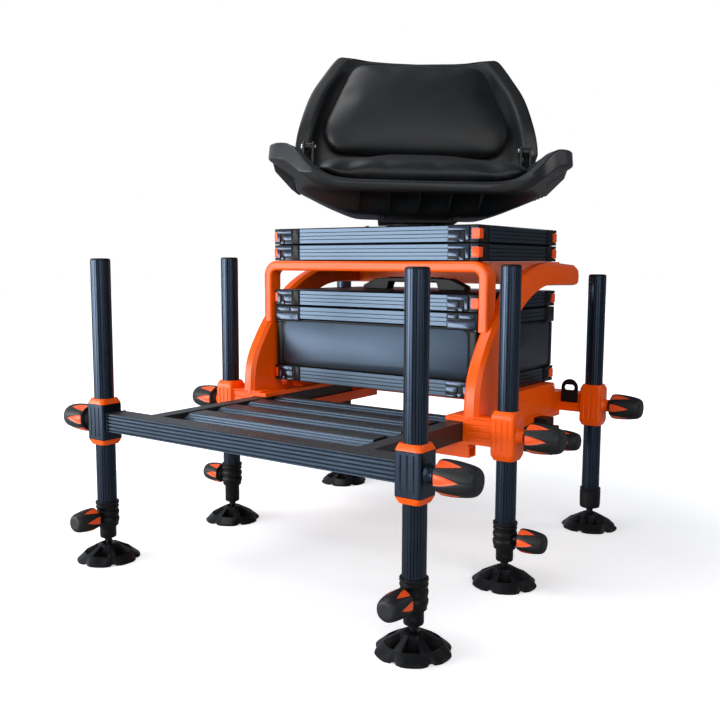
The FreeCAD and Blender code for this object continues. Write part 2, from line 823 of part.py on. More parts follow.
pan_stations = [
    # forward, then the upper and the lower surface from the middle to the right edge as (s, z)
    (228, [(0, 708), (110, 708), (165, 710), (188, 715), (202, 723), (212, 730)],
     [(0, 697), (110, 697), (168, 699), (192, 704), (207, 713), (214, 722)]),
    (190, [(0, 703), (120, 704), (185, 712), (222, 730), (246, 748), (262, 760)],
     [(0, 690), (110, 690), (165, 696), (216, 714), (246, 730), (264, 738)]),
    (150, [(0, 702), (120, 703), (196, 712), (236, 738), (256, 766), (284, 776)],
     [(0, 672), (110, 674), (170, 684), (222, 706), (256, 728), (285, 752)]),
    (105, [(0, 702), (120, 703), (198, 714), (236, 744), (253, 776), (297, 780)],
     [(0, 652), (110, 652), (165, 666), (210, 688), (254, 714), (298, 756)]),
    (40, [(0, 702), (120, 703), (196, 712), (232, 738), (250, 780), (293, 784)],
     [(0, 652), (140, 652), (175, 668), (205, 687), (254, 715), (294, 760)]),
    (-40, [(0, 704), (120, 706), (196, 716), (228, 740), (246, 780), (276, 783)],
     [(0, 652), (140, 652), (175, 668), (205, 688), (253, 716), (277, 759)]),
    (-95, [(0, 708), (120, 710), (190, 719), (224, 741), (240, 766), (264, 766)],
     [(0, 652), (125, 652), (165, 670), (196, 690), (242, 718), (266, 742)]),
    (-135, [(0, 714), (120, 716), (188, 724), (218, 742), (232, 752), (252, 752)],
     [(0, 692), (110, 694), (150, 702), (186, 712), (228, 728), (253, 730)]),
    (-172, [(0, 726), (120, 727), (180, 732), (206, 740), (220, 744), (234, 744)],
     [(0, 716), (118, 717), (180, 722), (208, 730), (222, 732), (235, 732)]),
]
pocket_low, pocket_high = 651.0, 692.0


def pan_section(d, upper, lower):
    """A closed cross-section of the pan."""
    right = [V(s, -d, z) for s, z in upper + lower[::-1]]
    return right + [V(-p.x, p.y, p.z) for p in right[-2:0:-1] if p.x > 0]


def seat_pan():
    """The seat's moulded shell: a dished top, a hollow underside and the hinge lugs."""
    body = skinned([pan_section(*station) for station in pan_stations])
    pocket = []
    for s, front, rear, z in ((128, 98, 88, pocket_low), (165, 110, 96, pocket_high)):
        pocket.append([V(s, -front, z), V(s, rear, z), V(-s, rear, z), V(-s, -front, z)])
    body = body.cut(skinned(pocket))
    for side in (-1, 1):
        x = side * (hinge_half_width + 7)
        shape = [(-14, -58), (14, -58), (14, 4), (7, 13), (-7, 13), (-14, 4)]
        lug = polygon([V(x, -hinge_forward + a, hinge_height + b) for a, b in shape])
        body = body.fuse(lug.extrude(V(side * 5, 0, 0)))
    bolt = rod(pin_radius, V(-300, -hinge_forward, hinge_height), V(300, -hinge_forward, hinge_height))
    return max(body.cut(bolt).Solids, key=lambda s: s.Volume)


back_stations = [
    # height, half width, forward place of the side edge and of the middle
    (766, 208, -140, -168),
    (796, 258, -126, -172),
    (862, 270, -136, -190),
    (932, 254, -170, -216),
    (1000, 212, -207, -241),
    (1029, 186, -224, -250),
]


def back_section(height, half, edge, middle):
    """A cross-section of the back: a curved panel with a thicker rim at each side."""
    rim = 32.0
    front = [(half * f, middle + (edge - rim - middle) * f ** 2) for f in (0.0, 0.4, 0.75)]
    front += [(half - 24, edge - rim * 0.8), (half - 18, edge), (half, edge - 6)]
    rear = [(half - 2, edge - 24), (half - 26, edge - rim - back_thickness)]
    rear += [(s, d - back_thickness) for s, d in front[2::-1]]
    right = [V(s, -d, height) for s, d in front + rear]
    return right + [V(-p.x, p.y, p.z) for p in right[-2:0:-1]]


def seat_back():
    """The curved back with the two knuckles that turn on the hinge pins."""
    body = skinned([back_section(*station) for station in back_stations])
    pieces = [body]
    for side in (-1, 1):
        x0 = side * (hinge_half_width - 8 + part_gap)
        x1 = side * (hinge_half_width + 7 - part_gap)
        arm = box(x0, x1, -hinge_forward - 8, -hinge_forward + 40, hinge_height, hinge_height + 26)
        eye = rod(11.0, V(x0, -hinge_forward, hinge_height), V(x1, -hinge_forward, hinge_height))
        pieces += [arm, eye]
    body = joined(pieces)
    bolt = rod(pin_radius + running, V(-300, -hinge_forward, hinge_height), V(300, -hinge_forward, hinge_height))
    return max(body.cut(bolt).Solids, key=lambda s: s.Volume)


def hinge_pins():
    pins = []
    for side in (-1, 1):
        x0 = side * (hinge_half_width - 8)
        x1 = side * (hinge_half_width + 12)
        pins.append(rod(pin_radius, V(x0, -hinge_forward, hinge_height), V(x1, -hinge_forward, hinge_height)))
    return group(pins)


def rounded(points, radius):
    """Outline points with each corner replaced by four points on its curve."""
    result = []
    for i, corner in enumerate(points):
        before, after = points[i - 1], points[(i + 1) % len(points)]
        a = corner + (before - corner).normalize() * radius
        b = corner + (after - corner).normalize() * radius
        for t in (0, 1 / 3, 2 / 3, 1):
            result.append(a * (1 - t) ** 2 + corner * 2 * t * (1 - t) + b * t ** 2)
    return result


def seat_cushion():
    """A crowned pad: its outline swells from the base to its middle and closes over the top."""
    rings = []
    for grow, rear_z, front_z in cushion_levels:
        corners = [(-196, 190, front_z), (196, 190, front_z), (214, -80, rear_z), (-214, -80, rear_z)]
        points = []
        for s, d, z in corners:
            sign = 1 if s > 0 else -1
            points.append(V(s + sign * grow, -(d + (grow if d > 0 else -grow)), z))
        rings.append(rounded(points, 48))
    return skinned(rings)


def back_cushion():
    """The pad on the back, wide above the hinge and narrower at its top."""
    rings = []
    for grow, out in ((-18, 5), (-3, 16), (0, 28), (-12, 38), (-44, 46)):
        outline = [(190 + grow, 792 - grow), (208 + grow, 874), (150 + grow, 1006 + grow)]
        outline += [(-s, z) for s, z in outline[::-1]]
        points = []
        for s, z in outline:
            forward = cushion_foot - (z - 790) * back_lean + out
            points.append(V(s, -forward, z + out * back_lean))
        rings.append(rounded(points, 20))
    return skinned(rings)


LEFT, RIGHT = -1, 1
leg_places = {
    "plate_leg_left": (LEFT * plate_leg_x, plate_leg_y, V(0, -1, 0)),
    "plate_leg_right": (RIGHT * plate_leg_x, plate_leg_y, V(0, -1, 0)),
    "front_leg_left": (LEFT * frame_leg_x, front_leg_y, V(-1, 0, 0)),
    "front_leg_right": (RIGHT * frame_leg_x, front_leg_y, V(1, 0, 0)),
    "rear_leg_left": (LEFT * frame_leg_x, rear_leg_y, None),
    "rear_leg_right": (RIGHT * frame_leg_x, rear_leg_y, None),
}


def placed(shape, x, y):
    moved = shape.copy()
    moved.translate(V(x, y, 0))
    return moved


def build():
    """Every node of the box by name, about the swivel's axis."""
    parts = {}
    for name, (x, y, direction) in leg_places.items():
        side = LEFT if x < 0 else RIGHT
        if direction is None:
            parts[name] = placed(plain_leg(name), x, y)
        else:
            parts[name] = placed(outer_leg(name, direction), x, y)
            parts[name + "_inner"] = placed(inner_leg(), x, y)
            parts[name + "_knob"] = placed(collar_knob(name, direction), x, y)
        parts[name + "_foot"] = placed(foot(), x, y)
        parts[name + "_clamp_knob"] = placed(clamp_knob(side), x, y)
    clamps = {"frame": [], "plate": []}
    for name, (x, y, direction) in leg_places.items():
        side = LEFT if x < 0 else RIGHT
        if name.startswith("plate"):
            owner, pieces = "plate", [clamp_block(side), clamp_end_collar(-1), clamp_end_collar(1)]
        else:
            owner, pieces = "frame", [whole_clamp(side)]
        clamps[owner] += [placed(piece, x, y) for piece in pieces]
    for owner, pieces in clamps.items():
        parts[owner + "_clamps"] = group(pieces)

    for word, side in (("left", LEFT), ("right", RIGHT)):
        parts["side_rail_" + word] = on_side(side_rail(), side)
        parts["arch_" + word] = on_side(arch(), side)
        parts["lock_knob_" + word] = on_side(lock_knob(), side)
        parts["tray_latches_" + word] = latches([(lid_bottom + lid_top) / 2], side)
        parts["case_latches_" + word] = latches([case_top - module_height / 2], side)
    parts["plate_lock_blocks"] = group([on_side(lock_block(), s) for s in (LEFT, RIGHT)])
    arms = [on_side(stub_arm(), s) for s in (LEFT, RIGHT)]
    parts["frame_cross_members"] = group(arms + [front_cross_beam(), rear_cross_beam(), top_beam()])
    parts["front_hoop"] = front_hoop()
    parts["strap_loop"] = strap_loop()

    parts["plate_front_rail"] = plate_front_rail()
    parts["plate_side_rails"] = group([on_side(plate_side_rail(), s) for s in (LEFT, RIGHT)])
    parts["plate_slats"] = slats()

    parts["case_body"] = case_body()
    parts["case_lid"] = case_lid()
    parts["case_fittings"] = case_fittings()
    parts["case_handle"] = case_handle()
    parts["lower_tray"] = tray(tray_bottom)
    parts["lower_tray_fittings"] = group(corner_fittings(tray_bottom, tray_bottom + module_height))
    parts["seat_lid"] = covered_tray(lid_bottom, lid_top)
    parts["seat_lid_fittings"] = group(corner_clips(lid_bottom, lid_top))
    parts["swivel_base"] = swivel_base()

    seat = {
        "swivel_plate": swivel_plate(),
        "seat_pan": seat_pan(),
        "seat_back": seat_back(),
        "seat_hinge_pins": hinge_pins(),
        "seat_cushion": seat_cushion(),
        "back_cushion": back_cushion(),
    }
    for name, shape in seat.items():
        shape.rotate(V(0, 0, 0), AXES["z"], seat_turn)
        parts[name] = shape
    return parts


def outline_shift(parts):
    """How far the box moves along Y to put the middle of its outline at zero."""
    boxes = [shape.optimalBoundingBox(False, False) for shape in parts.values()]
    return -(min(b.YMin for b in boxes) + max(b.YMax for b in boxes)) / 2


def main():
    os.makedirs("parts", exist_ok=True)
    parts = build()
    shift = outline_shift(parts)
    for name, shape in parts.items():
        shape.translate(V(0, shift, 0))
        shape.exportStep("parts/" + name + ".step")
    print(len(parts), "nodes, shifted along Y by", round(shift, 3))


if __name__ == "__main__":
    main()
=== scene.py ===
# %% [markdown]
# # A fishing seat box
#
# A welded orange frame stands on six round legs. A slatted footplate slides out of it, a case
# draws out under two trays, and a padded seat turns on the top one. The solid model comes from
# CAD, to size, and this notebook gives it the surfaces and the fine forms that the eye reads.

# %% Load the solid model
import bmesh
import bpy
import json
from math import atan2, cos, pi, radians, sin, sqrt
from mathutils import Matrix, Vector


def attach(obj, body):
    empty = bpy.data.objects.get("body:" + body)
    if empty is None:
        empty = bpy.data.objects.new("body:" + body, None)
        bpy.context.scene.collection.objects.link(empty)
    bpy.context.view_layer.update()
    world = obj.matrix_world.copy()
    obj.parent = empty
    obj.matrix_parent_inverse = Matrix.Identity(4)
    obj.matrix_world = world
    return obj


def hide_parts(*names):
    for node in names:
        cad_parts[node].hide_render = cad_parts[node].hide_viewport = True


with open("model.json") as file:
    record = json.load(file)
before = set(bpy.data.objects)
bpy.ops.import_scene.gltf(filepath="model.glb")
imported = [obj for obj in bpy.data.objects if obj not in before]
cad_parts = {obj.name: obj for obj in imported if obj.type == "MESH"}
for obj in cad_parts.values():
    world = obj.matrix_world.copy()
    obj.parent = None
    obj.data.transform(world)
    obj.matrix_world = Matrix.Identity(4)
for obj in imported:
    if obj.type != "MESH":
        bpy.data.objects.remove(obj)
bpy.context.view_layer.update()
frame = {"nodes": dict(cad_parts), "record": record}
joints = {joint["name"]: joint for joint in frame["record"]["behaviour"]["joints"]}
swivel_y = joints["seat_swivel"]["pos_m"][1] * 1000

# %% [markdown]
# ## Camera
#
# The photograph was taken from the right-hand front corner, a little over half a metre above
# the floor. Camera, lens and shift come from fitting a pinhole camera to the corners of the
# object, so the render lies on the photograph. The shift is two pixels.

# %% Camera
def place(x, y, z):
    """A point in millimetres, measured from the swivel's axis on the floor, in metres."""
    return Vector((x, y + swivel_y, z)) / 1000


camera_spot = place(974.2, -1567.9, 559.7)
yaw, pitch, roll = 0.6166, 0.1140, -0.0041  # radians: turned to the left, looking down, tipped
photo_width = 720
ahead = Vector((-sin(yaw) * cos(pitch), cos(yaw) * cos(pitch), -sin(pitch)))
level = Vector((cos(yaw), sin(yaw), 0))
down = ahead.cross(level)
right = level * cos(roll) + down * sin(roll)
below = -level * sin(roll) + down * cos(roll)
camera_data = bpy.data.cameras.new("photo_camera")
camera_data.lens = 43.294
camera_data.sensor_width = 36
camera_data.shift_x, camera_data.shift_y = -2.2 / photo_width, 1.9 / photo_width
camera_data.clip_start, camera_data.clip_end = 0.05, 60
camera = bpy.data.objects.new("photo_camera", camera_data)
facing = Matrix((right, -below, -ahead)).transposed().to_4x4()
camera.matrix_world = Matrix.Translation(camera_spot) @ facing
bpy.context.scene.collection.objects.link(camera)
bpy.context.scene.camera = camera
print("camera at", [round(v, 3) for v in camera.location])

# %% [markdown]
# ## Nodes and colours
#
# Every shader and every geometry tree below is made with one helper that adds a node. Colours
# are written as sRGB hex, the way a paint card gives them, and one function turns them into
# the linear numbers that shaders work in.

# %% Node and colour helpers
def linear(colour):
    """An sRGB hex colour as linear red, green, blue and alpha."""
    parts = [int(colour[i:i + 2], 16) / 255 for i in (1, 3, 5)]
    return [p / 12.92 if p <= 0.04045 else ((p + 0.055) / 1.055) ** 2.4 for p in parts] + [1]


def add_node(tree, kind, inputs=None, **settings):
    """Adds a node; inputs gives each socket a value, a node (its first output) or an output."""
    made = tree.nodes.new(kind)
    for name, value in settings.items():
        setattr(made, name, value)
    for name, value in (inputs or {}).items():
        if isinstance(value, bpy.types.Node):
            value = value.outputs[0]
        if isinstance(value, bpy.types.NodeSocket):
            tree.links.new(value, made.inputs[name])
        else:
            made.inputs[name].default_value = value
    return made


def surface(name, colour, roughness, **sockets):
    """A new material: its tree and its Principled shader, with one colour to start from."""
    made = bpy.data.materials.new(name)
    made.use_nodes = True
    shader = made.node_tree.nodes["Principled BSDF"]
    shader.inputs["Base Color"].default_value = linear(colour)
    shader.inputs["Roughness"].default_value = roughness
    for socket, value in sockets.items():
        shader.inputs[socket.replace("_", " ")].default_value = value
    return made, made.node_tree, shader


def mottle(tree, shader, dark, light, roughness, grain_mm, patch_mm, height_mm):
    """Slow patches of colour and roughness, and a fine grain in the relief, on Object coordinates."""
    where = add_node(tree, "ShaderNodeTexCoord").outputs["Object"]
    patch = add_node(tree, "ShaderNodeTexNoise", {"Vector": where, "Scale": 1000 / patch_mm, "Detail": 3.0})
    mix = add_node(tree, "ShaderNodeMix", {0: patch.outputs["Fac"], 6: linear(dark), 7: linear(light)},
                   data_type="RGBA")
    tree.links.new(mix.outputs[2], shader.inputs["Base Color"])
    rough = add_node(tree, "ShaderNodeMapRange", {
        "Value": patch.outputs["Fac"], "To Min": roughness[0], "To Max": roughness[1]})
    tree.links.new(rough.outputs["Result"], shader.inputs["Roughness"])
    grain = add_node(tree, "ShaderNodeTexNoise", {"Vector": where, "Scale": 1000 / grain_mm, "Detail": 2.0})
    bump = add_node(tree, "ShaderNodeBump", {
        "Height": grain.outputs["Fac"], "Strength": 0.5, "Distance": height_mm / 1000})
    tree.links.new(bump.outputs["Normal"], shader.inputs["Normal"])
    return where, mix, bump


# %% [markdown]
# ## Finishes
#
# The frame is steel with an orange powder coat: a satin paint, baked on, with a slight orange
# peel. The legs, the footplate and the bands of the trays are extruded aluminium, anodised
# black, which keeps a cold blue-grey sheen. Knobs are two shots of plastic, and the seat is a
# moulded polypropylene shell with pads in black leatherette. Each one starts from these facts.

# %% Orange powder coat
# Baked polyester powder on steel: even colour, satin gloss, orange peel about 2.5 mm across.
orange_coat, tree, shader = surface("orange_powder_coat", "#F95A02", 0.3, Specular_IOR_Level=0.26)
mottle(tree, shader, "#F65600", "#FC5E04", (0.26, 0.34), 2.5, 60, 0.05)
print(orange_coat.name)

# %% Black anodised aluminium
# The oxide layer is dyed black over bright metal, so it reflects as a dark blue-grey metal does.
anodised, tree, shader = surface("black_anodised_aluminium", "#2E3845", 0.28, Metallic=0.9,
                                 Specular_IOR_Level=0.5)
mottle(tree, shader, "#2A3440", "#333D4B", (0.24, 0.33), 1.2, 45, 0.02)
print(anodised.name)

# %% Grey-blue anodised bands
# The ribbed bands of trays and case, and the footplate's front rail and slats: the same alloy
# with a thinner dye, so they look greyer.
band_alloy, tree, shader = surface("slate_anodised_aluminium", "#3B4652", 0.3, Metallic=0.9,
                                   Specular_IOR_Level=0.5)
mottle(tree, shader, "#37424E", "#3F4B58", (0.28, 0.34), 1.4, 70, 0.02)
print(band_alloy.name)

# %% Matt panel
# The flat panels of the case are aluminium sheet under a thin, finely textured black lacquer.
panel_sheet, tree, shader = surface("black_lacquered_sheet", "#35404C", 0.4, Metallic=0.9)
mottle(tree, shader, "#313B47", "#394451", (0.37, 0.44), 1.0, 90, 0.02)
print(panel_sheet.name)

# %% Moulded plastic
# Glass-filled nylon and polypropylene, moulded in a spark-eroded tool: a fine even grain.
moulded, tree, shader = surface("black_moulded_plastic", "#0C0D0F", 0.42, Specular_IOR_Level=0.2)
mottle(tree, shader, "#0B0C0E", "#0F1012", (0.36, 0.48), 1.1, 40, 0.06)
print(moulded.name)

# %% Polished plastic
# The raised faces of the corner mouldings come from a polished tool, so they mirror the window.
polished, tree, shader = surface("polished_black_nylon", "#101214", 0.2, Specular_IOR_Level=0.85,
                                 Specular_Tint=linear("#B4CCF0"))
mottle(tree, shader, "#0E1012", "#131517", (0.17, 0.24), 3.0, 30, 0.01)
print(polished.name)

# %% Seat shell plastic
# Unfilled polypropylene with a leather grain: a little greyer and glossier than the nylon.
shell_plastic, tree, shader = surface("black_polypropylene", "#141516", 0.4, Specular_IOR_Level=0.38)
mottle(tree, shader, "#121314", "#18191A", (0.34, 0.46), 1.6, 60, 0.06)
print(shell_plastic.name)

# %% Orange latch plastic
# The press latches are acetal, dyed through and smooth from the mould.
latch_plastic, tree, shader = surface("orange_acetal", "#FA5208", 0.33, Specular_IOR_Level=0.28)
mottle(tree, shader, "#F44C06", "#FE580C", (0.3, 0.38), 2.0, 25, 0.01)
print(latch_plastic.name)

# %% Bolt steel
# Hinge bolts and screws: zinc-plated steel, turned, with a metal's own reflection.
bolt_steel, tree, shader = surface("zinc_plated_steel", "#A9ACB0", 0.3, Metallic=1.0)
mottle(tree, shader, "#9A9DA1", "#B6B9BD", (0.24, 0.38), 0.8, 12, 0.01)
print(bolt_steel.name)

# %% Leatherette
# PVC-coated cloth with an embossed pebble grain about 1.8 mm across and a soft sheen.
leatherette, tree, shader = surface("black_leatherette", "#121314", 0.44, Specular_IOR_Level=0.34)
where, mix, bump = mottle(tree, shader, "#0F1011", "#151617", (0.38, 0.5), 0.9, 55, 0.02)
pebble_mm = 1.8
pebbles = add_node(tree, "ShaderNodeTexVoronoi", {"Vector": where, "Scale": 1000 / pebble_mm},
                   feature="SMOOTH_F1")
pebble_bump = add_node(tree, "ShaderNodeBump",
                       {"Height": pebbles.outputs["Distance"], "Strength": 0.35, "Distance": 0.00012,
                        "Normal": bump.outputs["Normal"]})
tree.links.new(pebble_bump.outputs["Normal"], shader.inputs["Normal"])
print(leatherette.name)

# %% Knob grip
# Two-shot moulding: a black rubber grip over an orange nylon core that shows in tear-drop
# windows. The mesh carries a UV map whose first number counts windows and whose second is the
# share of the knob's length, so the pattern is the same on every knob, whichever way it points.
window_count = 6
window_start, window_end = 0.03, 0.66  # shares of the knob's length
window_edge = 0.035  # the core shows from here on
window_half, window_taper = 0.31, 1.7  # half its width at the clamp, and how it closes to a point
grip, tree, shader = surface("two_shot_grip", "#131415", 0.5, Specular_IOR_Level=0.35)
windows_map = add_node(tree, "ShaderNodeUVMap", uv_map="windows").outputs["UV"]
around = add_node(tree, "ShaderNodeSeparateXYZ", {"Vector": windows_map})
turn = add_node(tree, "ShaderNodeMath", {0: around.outputs["X"]}, operation="FRACT")
off = add_node(tree, "ShaderNodeMath", {0: turn, 1: 0.5}, operation="SUBTRACT")
side = add_node(tree, "ShaderNodeMath", {0: off}, operation="ABSOLUTE")
run = add_node(tree, "ShaderNodeMapRange", {
    "Value": around.outputs["Y"], "From Min": window_start, "From Max": window_end})
closing = add_node(tree, "ShaderNodeMath", {0: run.outputs["Result"], 1: window_taper}, operation="POWER")
width = add_node(tree, "ShaderNodeMath", {0: closing, 1: -window_half, 2: window_half},
                 operation="MULTIPLY_ADD")
inside = add_node(tree, "ShaderNodeMath", {0: side, 1: width}, operation="LESS_THAN")
started = add_node(tree, "ShaderNodeMath", {0: around.outputs["Y"], 1: window_edge},
                   operation="GREATER_THAN")
window = add_node(tree, "ShaderNodeMath", {0: inside, 1: started}, operation="MULTIPLY")
where = add_node(tree, "ShaderNodeTexCoord").outputs["Object"]
speckle = add_node(tree, "ShaderNodeTexNoise", {"Vector": where, "Scale": 1000 / 1.2, "Detail": 2.0})
rubber = add_node(tree, "ShaderNodeMix", {0: speckle.outputs["Fac"], 6: linear("#0F1011"),
                                          7: linear("#17181A")}, data_type="RGBA")
colour = add_node(tree, "ShaderNodeMix", {0: window, 6: rubber.outputs[2], 7: linear("#F0541A")},
                  data_type="RGBA")
tree.links.new(colour.outputs[2], shader.inputs["Base Color"])
sheen = add_node(tree, "ShaderNodeMapRange", {"Value": window, "To Min": 0.52, "To Max": 0.34})
tree.links.new(sheen.outputs["Result"], shader.inputs["Roughness"])
bump = add_node(tree, "ShaderNodeBump", {"Height": speckle.outputs["Fac"], "Strength": 0.4,
                                         "Distance": 0.00006})
tree.links.new(bump.outputs["Normal"], shader.inputs["Normal"])
print(grip.name)

# %% [markdown]
# ## Mesh helpers
#
# Most pieces here are either turned (a profile about an axis), lofted (a row of rings) or a CAD
# solid with its edges softened. A cast or moulded edge is never sharp, and the narrow light
# line on it is what makes a render look solid, so the softened copies get a real bevel.

# %% Mesh helpers
def mesh_piece(name, points, faces, materials, angle=32):
    """An object at the origin with its place in its mesh; edges over the angle stay sharp."""
    mesh = bpy.data.meshes.new(name)
    mesh.from_pydata([Vector(p) for p in points], [], faces)
    work = bmesh.new()
    work.from_mesh(mesh)
    bmesh.ops.remove_doubles(work, verts=work.verts, dist=1e-6)
    bmesh.ops.recalc_face_normals(work, faces=work.faces)
    work.to_mesh(mesh)
    work.free()
    return dressed(name, mesh, materials, angle)


def dressed(name, mesh, materials, angle=32):
    """An object for a finished mesh, with its material and its smooth shading."""
    for material in materials:
        mesh.materials.append(material)
    mesh.shade_smooth()
    mesh.set_sharp_from_angle(angle=radians(angle))
    piece = bpy.data.objects.new(name, mesh)
    bpy.context.scene.collection.objects.link(piece)
    return piece


def final_mesh(thing):
    """An object's mesh as its modifiers leave it."""
    return bpy.data.meshes.new_from_object(thing.evaluated_get(bpy.context.evaluated_depsgraph_get()))


def skin(rings, closed=False):
    """Points and faces between rings of the same length; the ends are capped unless closed."""
    count = len(rings[0])
    points = [p for ring in rings for p in ring]
    faces = []
    bands = len(rings) if closed else len(rings) - 1
    for k in range(bands):
        a, b = k * count, (k + 1) % len(rings) * count
        for i in range(count):
            j = (i + 1) % count
            faces.append((a + i, a + j, b + j, b + i))
    if not closed:
        faces.append(tuple(reversed(range(count))))
        faces.append(tuple(range((len(rings) - 1) * count, len(rings) * count)))
    return points, faces


def merged(parts):
    """Several (points, faces) pairs as one."""
    points, faces = [], []
    for more_points, more_faces in parts:
        start = len(points)
        points += more_points
        faces += [tuple(i + start for i in face) for face in more_faces]
    return points, faces


def turned(profile, centre, direction, count=48):
    """Rings of a profile of (distance along, radius) pairs in mm, about an axis from a centre."""
    z = Vector(direction).normalized()
    x = z.orthogonal().normalized()
    y = z.cross(x)
    rings = []
    for along, radius in profile:
        ring = []
        for i in range(count):
            a = 2 * pi * i / count
            ring.append((centre + (z * along + (x * cos(a) + y * sin(a)) * radius) / 1000))
        rings.append(ring)
    return skin(rings)


def corner_arcs():
    """Round a rectangle: on which side of it each corner lies, and the points of its arc."""
    for a, b, first in ((1, -1, -90), (1, 1, 0), (-1, 1, 90), (-1, -1, 180)):
        for k in range(7):
            angle = radians(first + k * 15)
            yield a, b, cos(angle), sin(angle)


def slab(x0, x1, y0, y1, z0, z1, edge=1.0, corner=0.0):
    """A flat plate with an edge bevel, and with round corners in plan or in elevation."""
    spans = [abs(x1 - x0), abs(y1 - y0), abs(z1 - z0)]
    thin = spans.index(min(spans))
    a, b = [k for k in range(3) if k != thin]
    lows = [min(x0, x1), min(y0, y1), min(z0, z1)]
    highs = [max(x0, x1), max(y0, y1), max(z0, z1)]
    corner = max(corner, edge)
    rings = []
    for depth, inset in ((0, edge), (0.3, edge * 0.4), (1, 0), (-1, 0), (-0.3, edge * 0.4), (0, edge)):
        at = lows[thin] + depth * edge if len(rings) < 3 else highs[thin] + depth * edge
        reach = corner - inset
        ring = []
        for side_a, side_b, along_a, along_b in corner_arcs():
            spot = [at, at, at]
            spot[a] = (highs[a] - corner if side_a > 0 else lows[a] + corner) + reach * along_a
            spot[b] = (highs[b] - corner if side_b > 0 else lows[b] + corner) + reach * along_b
            ring.append(place(*spot))
        rings.append(ring)
    return skin(rings)


def softened(node, name, material, width, segments=2, angle=30):
    """A copy of a CAD solid, its flat faces made whole and its edges bevelled by a width in mm."""
    mesh = frame["nodes"][node].data.copy()
    mesh.materials.clear()
    work = bmesh.new()
    work.from_mesh(mesh)
    bmesh.ops.remove_doubles(work, verts=work.verts, dist=2e-6)
    bmesh.ops.dissolve_limit(work, angle_limit=radians(1.0), verts=work.verts, edges=work.edges)
    work.to_mesh(mesh)
    work.free()
    piece = dressed(name, mesh, [material], angle)
    bevel = piece.modifiers.new("soft edges", "BEVEL")
    bevel.width = width / 1000
    bevel.segments = segments
    bevel.limit_method = "ANGLE"
    bevel.angle_limit = radians(angle)
    bevel.harden_normals = True
    return piece


def settled(piece, body, slot, *nodes):
    """The piece rides on its body and stands for its CAD nodes."""
    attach(piece, body)
    if nodes:
        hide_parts(*nodes)
    return piece


def built(name, parts, material, body, slot, *nodes, angle=32):
    """One piece of several (points, faces) parts, on its body; its slot is not used."""
    return settled(mesh_piece(name, *merged(parts), [material], angle), body, slot, *nodes)


# %% [markdown]
# ## Trees for tubes and bars
#
# The legs are extruded tube with fine flutes, and the footplate is extruded bar with fine
# grooves. Both follow a rule: one section, swept along a line. That is a job for Geometry
# Nodes: the section is a curve whose points are moved in by a pattern in their index.

# %% Tree helpers
def new_tree(name, sizes):
    """A geometry tree with named number inputs, a material input and its group nodes."""
    tree = bpy.data.node_groups.new(name, "GeometryNodeTree")
    tree.interface.new_socket("Geometry", in_out="OUTPUT", socket_type="NodeSocketGeometry")
    for size in sizes:
        kind = "NodeSocketInt" if size.endswith("Count") else "NodeSocketFloat"
        tree.interface.new_socket(size, in_out="INPUT", socket_type=kind)
    tree.interface.new_socket("Finish", in_out="INPUT", socket_type="NodeSocketMaterial")
    start = tree.nodes.new("NodeGroupInput")
    end = tree.nodes.new("NodeGroupOutput")
    return tree, start.outputs, end.inputs


def ended(tree, shape, given, out):
    """Ends a tree: its copies made real, their finish set, and the shape handed out."""
    real = add_node(tree, "GeometryNodeRealizeInstances", {"Geometry": shape})
    coated = add_node(tree, "GeometryNodeSetMaterial",
                      {"Geometry": real, "Material": given["Finish"]})
    tree.links.new(coated.outputs[0], out[0])


def grown(tree, name, values, material, move=None, angle=32):
    """The plain mesh that a tree makes with these inputs, as a finished piece at the origin."""
    holder = bpy.data.objects.new("holder", bpy.data.meshes.new("holder"))
    bpy.context.scene.collection.objects.link(holder)
    modifier = holder.modifiers.new("tree", "NODES")
    modifier.node_group = tree
    for item in tree.interface.items_tree:
        if item.in_out == "INPUT":
            modifier[item.identifier] = material if item.name == "Finish" else values[item.name]
    holder.update_tag()
    bpy.context.view_layer.update()
    mesh = final_mesh(holder)
    bpy.data.objects.remove(holder)
    if move is not None:
        mesh.transform(move)
    mesh.materials.clear()
    return dressed(name, mesh, [material], angle)


# %% Fluted tube tree
# Section: a circle with eight points to a flute, the first of each eight pushed in.
tube_tree, given, out = new_tree("fluted_tube", ["Radius", "Flute Count", "Flute Depth", "Bottom", "Top"])
points_round = add_node(tube_tree, "ShaderNodeMath", {0: given["Flute Count"], 1: 8.0},
                        operation="MULTIPLY")
circle = add_node(tube_tree, "GeometryNodeCurvePrimitiveCircle",
                  {"Resolution": points_round, "Radius": given["Radius"]})
index = add_node(tube_tree, "GeometryNodeInputIndex")
in_flute = add_node(tube_tree, "ShaderNodeMath", {0: index, 1: 8.0}, operation="MODULO")
first = add_node(tube_tree, "ShaderNodeMath", {0: in_flute, 1: 0.5}, operation="LESS_THAN")
spot = add_node(tube_tree, "GeometryNodeInputPosition")
outwards = add_node(tube_tree, "ShaderNodeVectorMath", {0: spot}, operation="NORMALIZE")
push = add_node(tube_tree, "ShaderNodeMath", {0: given["Flute Depth"], 1: -1.0}, operation="MULTIPLY")
offset = add_node(tube_tree, "ShaderNodeVectorMath", {0: outwards, "Scale": push}, operation="SCALE")
section = add_node(tube_tree, "GeometryNodeSetPosition", {
    "Geometry": circle, "Selection": first, "Offset": offset})
foot_point = add_node(tube_tree, "ShaderNodeCombineXYZ", {"Z": given["Bottom"]})
head_point = add_node(tube_tree, "ShaderNodeCombineXYZ", {"Z": given["Top"]})
run = add_node(tube_tree, "GeometryNodeCurvePrimitiveLine", {"Start": foot_point, "End": head_point})
swept = add_node(tube_tree, "GeometryNodeCurveToMesh", {
    "Curve": run, "Profile Curve": section, "Fill Caps": True})
ended(tube_tree, swept, given, out)
print(tube_tree.name, len(tube_tree.nodes), "nodes")

